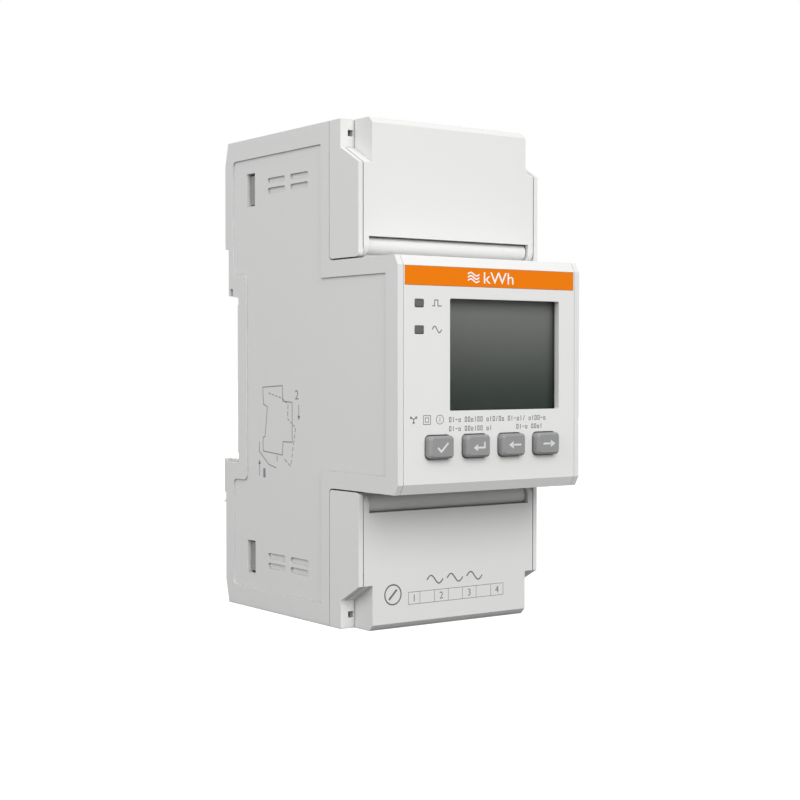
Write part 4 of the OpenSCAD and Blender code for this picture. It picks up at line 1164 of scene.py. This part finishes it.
def cover_marks():
    """Terminal signs on the lower cover: a clamp symbol, waves for the phases, and numbered places."""
    marks = Marks("lower_cover_signs", (0.0, low("terminal_cover_lower").y, 0.0), RIGHT, UP)
    hub = (-14.4, -43.15)
    marks.line(ring_points(hub, 1.95, 40), 0.3, closed=True)
    marks.line([(hub[0] - 0.95, hub[1] - 0.95), (hub[0] + 0.95, hub[1] + 0.95)], 0.42)
    for start in (-6.1, -1.1, 3.9):
        marks.line(wave_points((start, -40.9), (start + 4.0, -40.9), 0.85, 20), 0.27)
    edges = (-10.65, -7.84, -4.27, -0.78, 2.8, 6.35, 10.15, 13.4)
    foot, top = -45.4, -43.0
    marks.line(box_points(edges[0], edges[-1], foot, top), 0.1, closed=True)
    for edge in edges[1:-1]:
        marks.line([(edge, foot + 0.05), (edge, top - 0.05)], 0.1)
    for i, number in ((0, "1"), (2, "2"), (4, "3"), (6, "4")):
        marks.words(number, 1.4, ((edges[i] + edges[i + 1]) / 2, (foot + top) / 2))
    marks.done("component_black", "cover_lower", INK_GREY)


def dashed(marks, start, end, width, dash=0.9, gap=0.5):
    """A dashed line from one point to another."""
    start, end = Vector(start), Vector(end)
    along = (end - start).normalized()
    count = max(1, round((end - start).length / (dash + gap)))
    pitch = (end - start).length / count
    for i in range(count):
        first = start + along * (i * pitch)
        marks.line([first, first + along * (pitch - gap)], width)


def mounting_marks():
    """Picture on the left side of how the casing is lifted and tilted off its rail: a relief in the casing's
    colour, its lines painted dark grey as their shade.
    """
    field = low("base_housing").x / MM + 0.35
    marks = Marks("mounting_picture", (field * MM, 0.0, 0.0), FORWARD, UP, sunk=0.02, proud=0.02)
    fine = 0.2
    side = [(10.0, -2.8), (18.0, -2.4), (18.1, -5.6), (21.8, -5.8), (21.8, -14.0), (18.2, -14.0),
            (17.9, -16.8), (10.1, -16.3), (10.1, -13.4), (10.9, -13.2), (11.9, -6.9), (10.3, -6.4)]
    marks.line(side, fine, closed=True)
    tilted = [(12.4, -4.0), (17.8, -5.0), (20.2, -6.2), (20.0, -9.2), (23.2, -11.0), (21.2, -19.0),
              (18.4, -17.4)]
    for start, end in zip(tilted, tilted[1:]):
        dashed(marks, start, end, fine)
    marks.line([(8.6, -14.4), (8.5, -16.4), (12.4, -19.0), (15.4, -19.6)], fine)
    marks.line([(15.8, -17.0), (15.8, -18.2)], fine)
    for tail, tip in (((24.4, -6.2), (24.4, -9.4)), ((8.6, -21.6), (8.6, -18.2))):
        sense = 1 if tip[1] > tail[1] else -1
        marks.line([tail, (tip[0], tip[1] - sense * 0.5)], fine)
        marks.fill([(tip[0] - 0.5, tip[1] - sense * 0.9), (tip[0] + 0.5, tip[1] - sense * 0.9), tip])
    marks.words("2", 1.9, (23.6, -4.2), 1.3)
    marks.words("1", 1.9, (10.6, -20.9), 0.9)
    marks.done("casing_grey", "casing", PICTURE_PAINTED_SHADE)


title_marks()
lamp_marks()
class_marks()
rating_marks()
key_marks()
cover_marks()
mounting_marks()


# ---- stage, light and camera ----

def pale_floor():
    mesh = bpy.data.meshes.new("floor")
    half = 4.0
    corners = [(-half, -half, 0), (half, -half, 0), (half, half, 0), (-half, half, 0)]
    mesh.from_pydata(corners, [], [(0, 1, 2, 3)])
    floor = bpy.data.objects.new("floor", mesh)
    floor.location.z = CAD_BOX[0][2]
    bpy.context.scene.collection.objects.link(floor)
    recipe = Recipe("pale_floor")
    recipe.paint(recipe.tone((0.26, 0.26, 0.26), (0.24, 0.24, 0.24), 6.0))
    recipe.set(Roughness=0.9, Specular_IOR_Level=0.1, Emission_Color=(1.0, 1.0, 1.0))
    seen = recipe.add("ShaderNodeLightPath")
    recipe.join(recipe.times(seen.outputs["Is Camera Ray"], 0.95), recipe.shader.inputs["Emission Strength"])
    finish(floor, recipe.material)


def soft_box(name, place, target, width, height, watts):
    lamp = bpy.data.lights.new(name, "AREA")
    lamp.shape = "RECTANGLE"
    lamp.size = width
    lamp.size_y = height
    lamp.energy = watts
    holder = bpy.data.objects.new(name, lamp)
    holder.location = place
    holder.rotation_euler = (Vector(target) - Vector(place)).to_track_quat("-Z", "Y").to_euler()
    bpy.context.scene.collection.objects.link(holder)


def studio():
    world = bpy.data.worlds.new("studio_air")
    world.use_nodes = True
    bpy.context.scene.world = world
    tree = world.node_tree
    air = tree.nodes["Background"]
    air.inputs["Color"].default_value = (1.0, 1.0, 1.0, 1.0)
    air.inputs["Strength"].default_value = 0.52
    seen = tree.nodes.new("ShaderNodeBackground")
    seen.inputs["Color"].default_value = (1.0, 1.0, 1.0, 1.0)
    seen.inputs["Strength"].default_value = 1.0
    path = tree.nodes.new("ShaderNodeLightPath")
    mix = tree.nodes.new("ShaderNodeMixShader")
    tree.links.new(path.outputs["Is Camera Ray"], mix.inputs["Fac"])
    tree.links.new(air.outputs["Background"], mix.inputs[1])
    tree.links.new(seen.outputs["Background"], mix.inputs[2])
    tree.links.new(mix.outputs["Shader"], tree.nodes["World Output"].inputs["Surface"])
    soft_box("front_box", (-0.16, -1.15, 0.70), (0, -0.03, 0.02), 1.2, 0.9, 14.9)
    soft_box("side_box", (-0.64, -0.16, 0.32), (0, -0.02, 0.0), 0.45, 0.45, 2.0)
    soft_box("rear_box", (0.85, 0.78, 0.22), (0, 0.0, 0.0), 0.9, 0.7, 7.4)
    bpy.context.scene.view_settings.view_transform = "Standard"


def camera():
    lens = bpy.data.cameras.new("view")
    lens.lens = 71.14
    lens.sensor_width = 36.0
    lens.clip_start = 0.01
    holder = bpy.data.objects.new("view", lens)
    holder.location = (-0.19283, -0.29897, 0.00195)
    holder.rotation_euler = (math.radians(90 - 1.280), 0.0, math.radians(-35.528))
    bpy.context.scene.collection.objects.link(holder)
    bpy.context.scene.camera = holder


pale_floor()
studio()
camera()
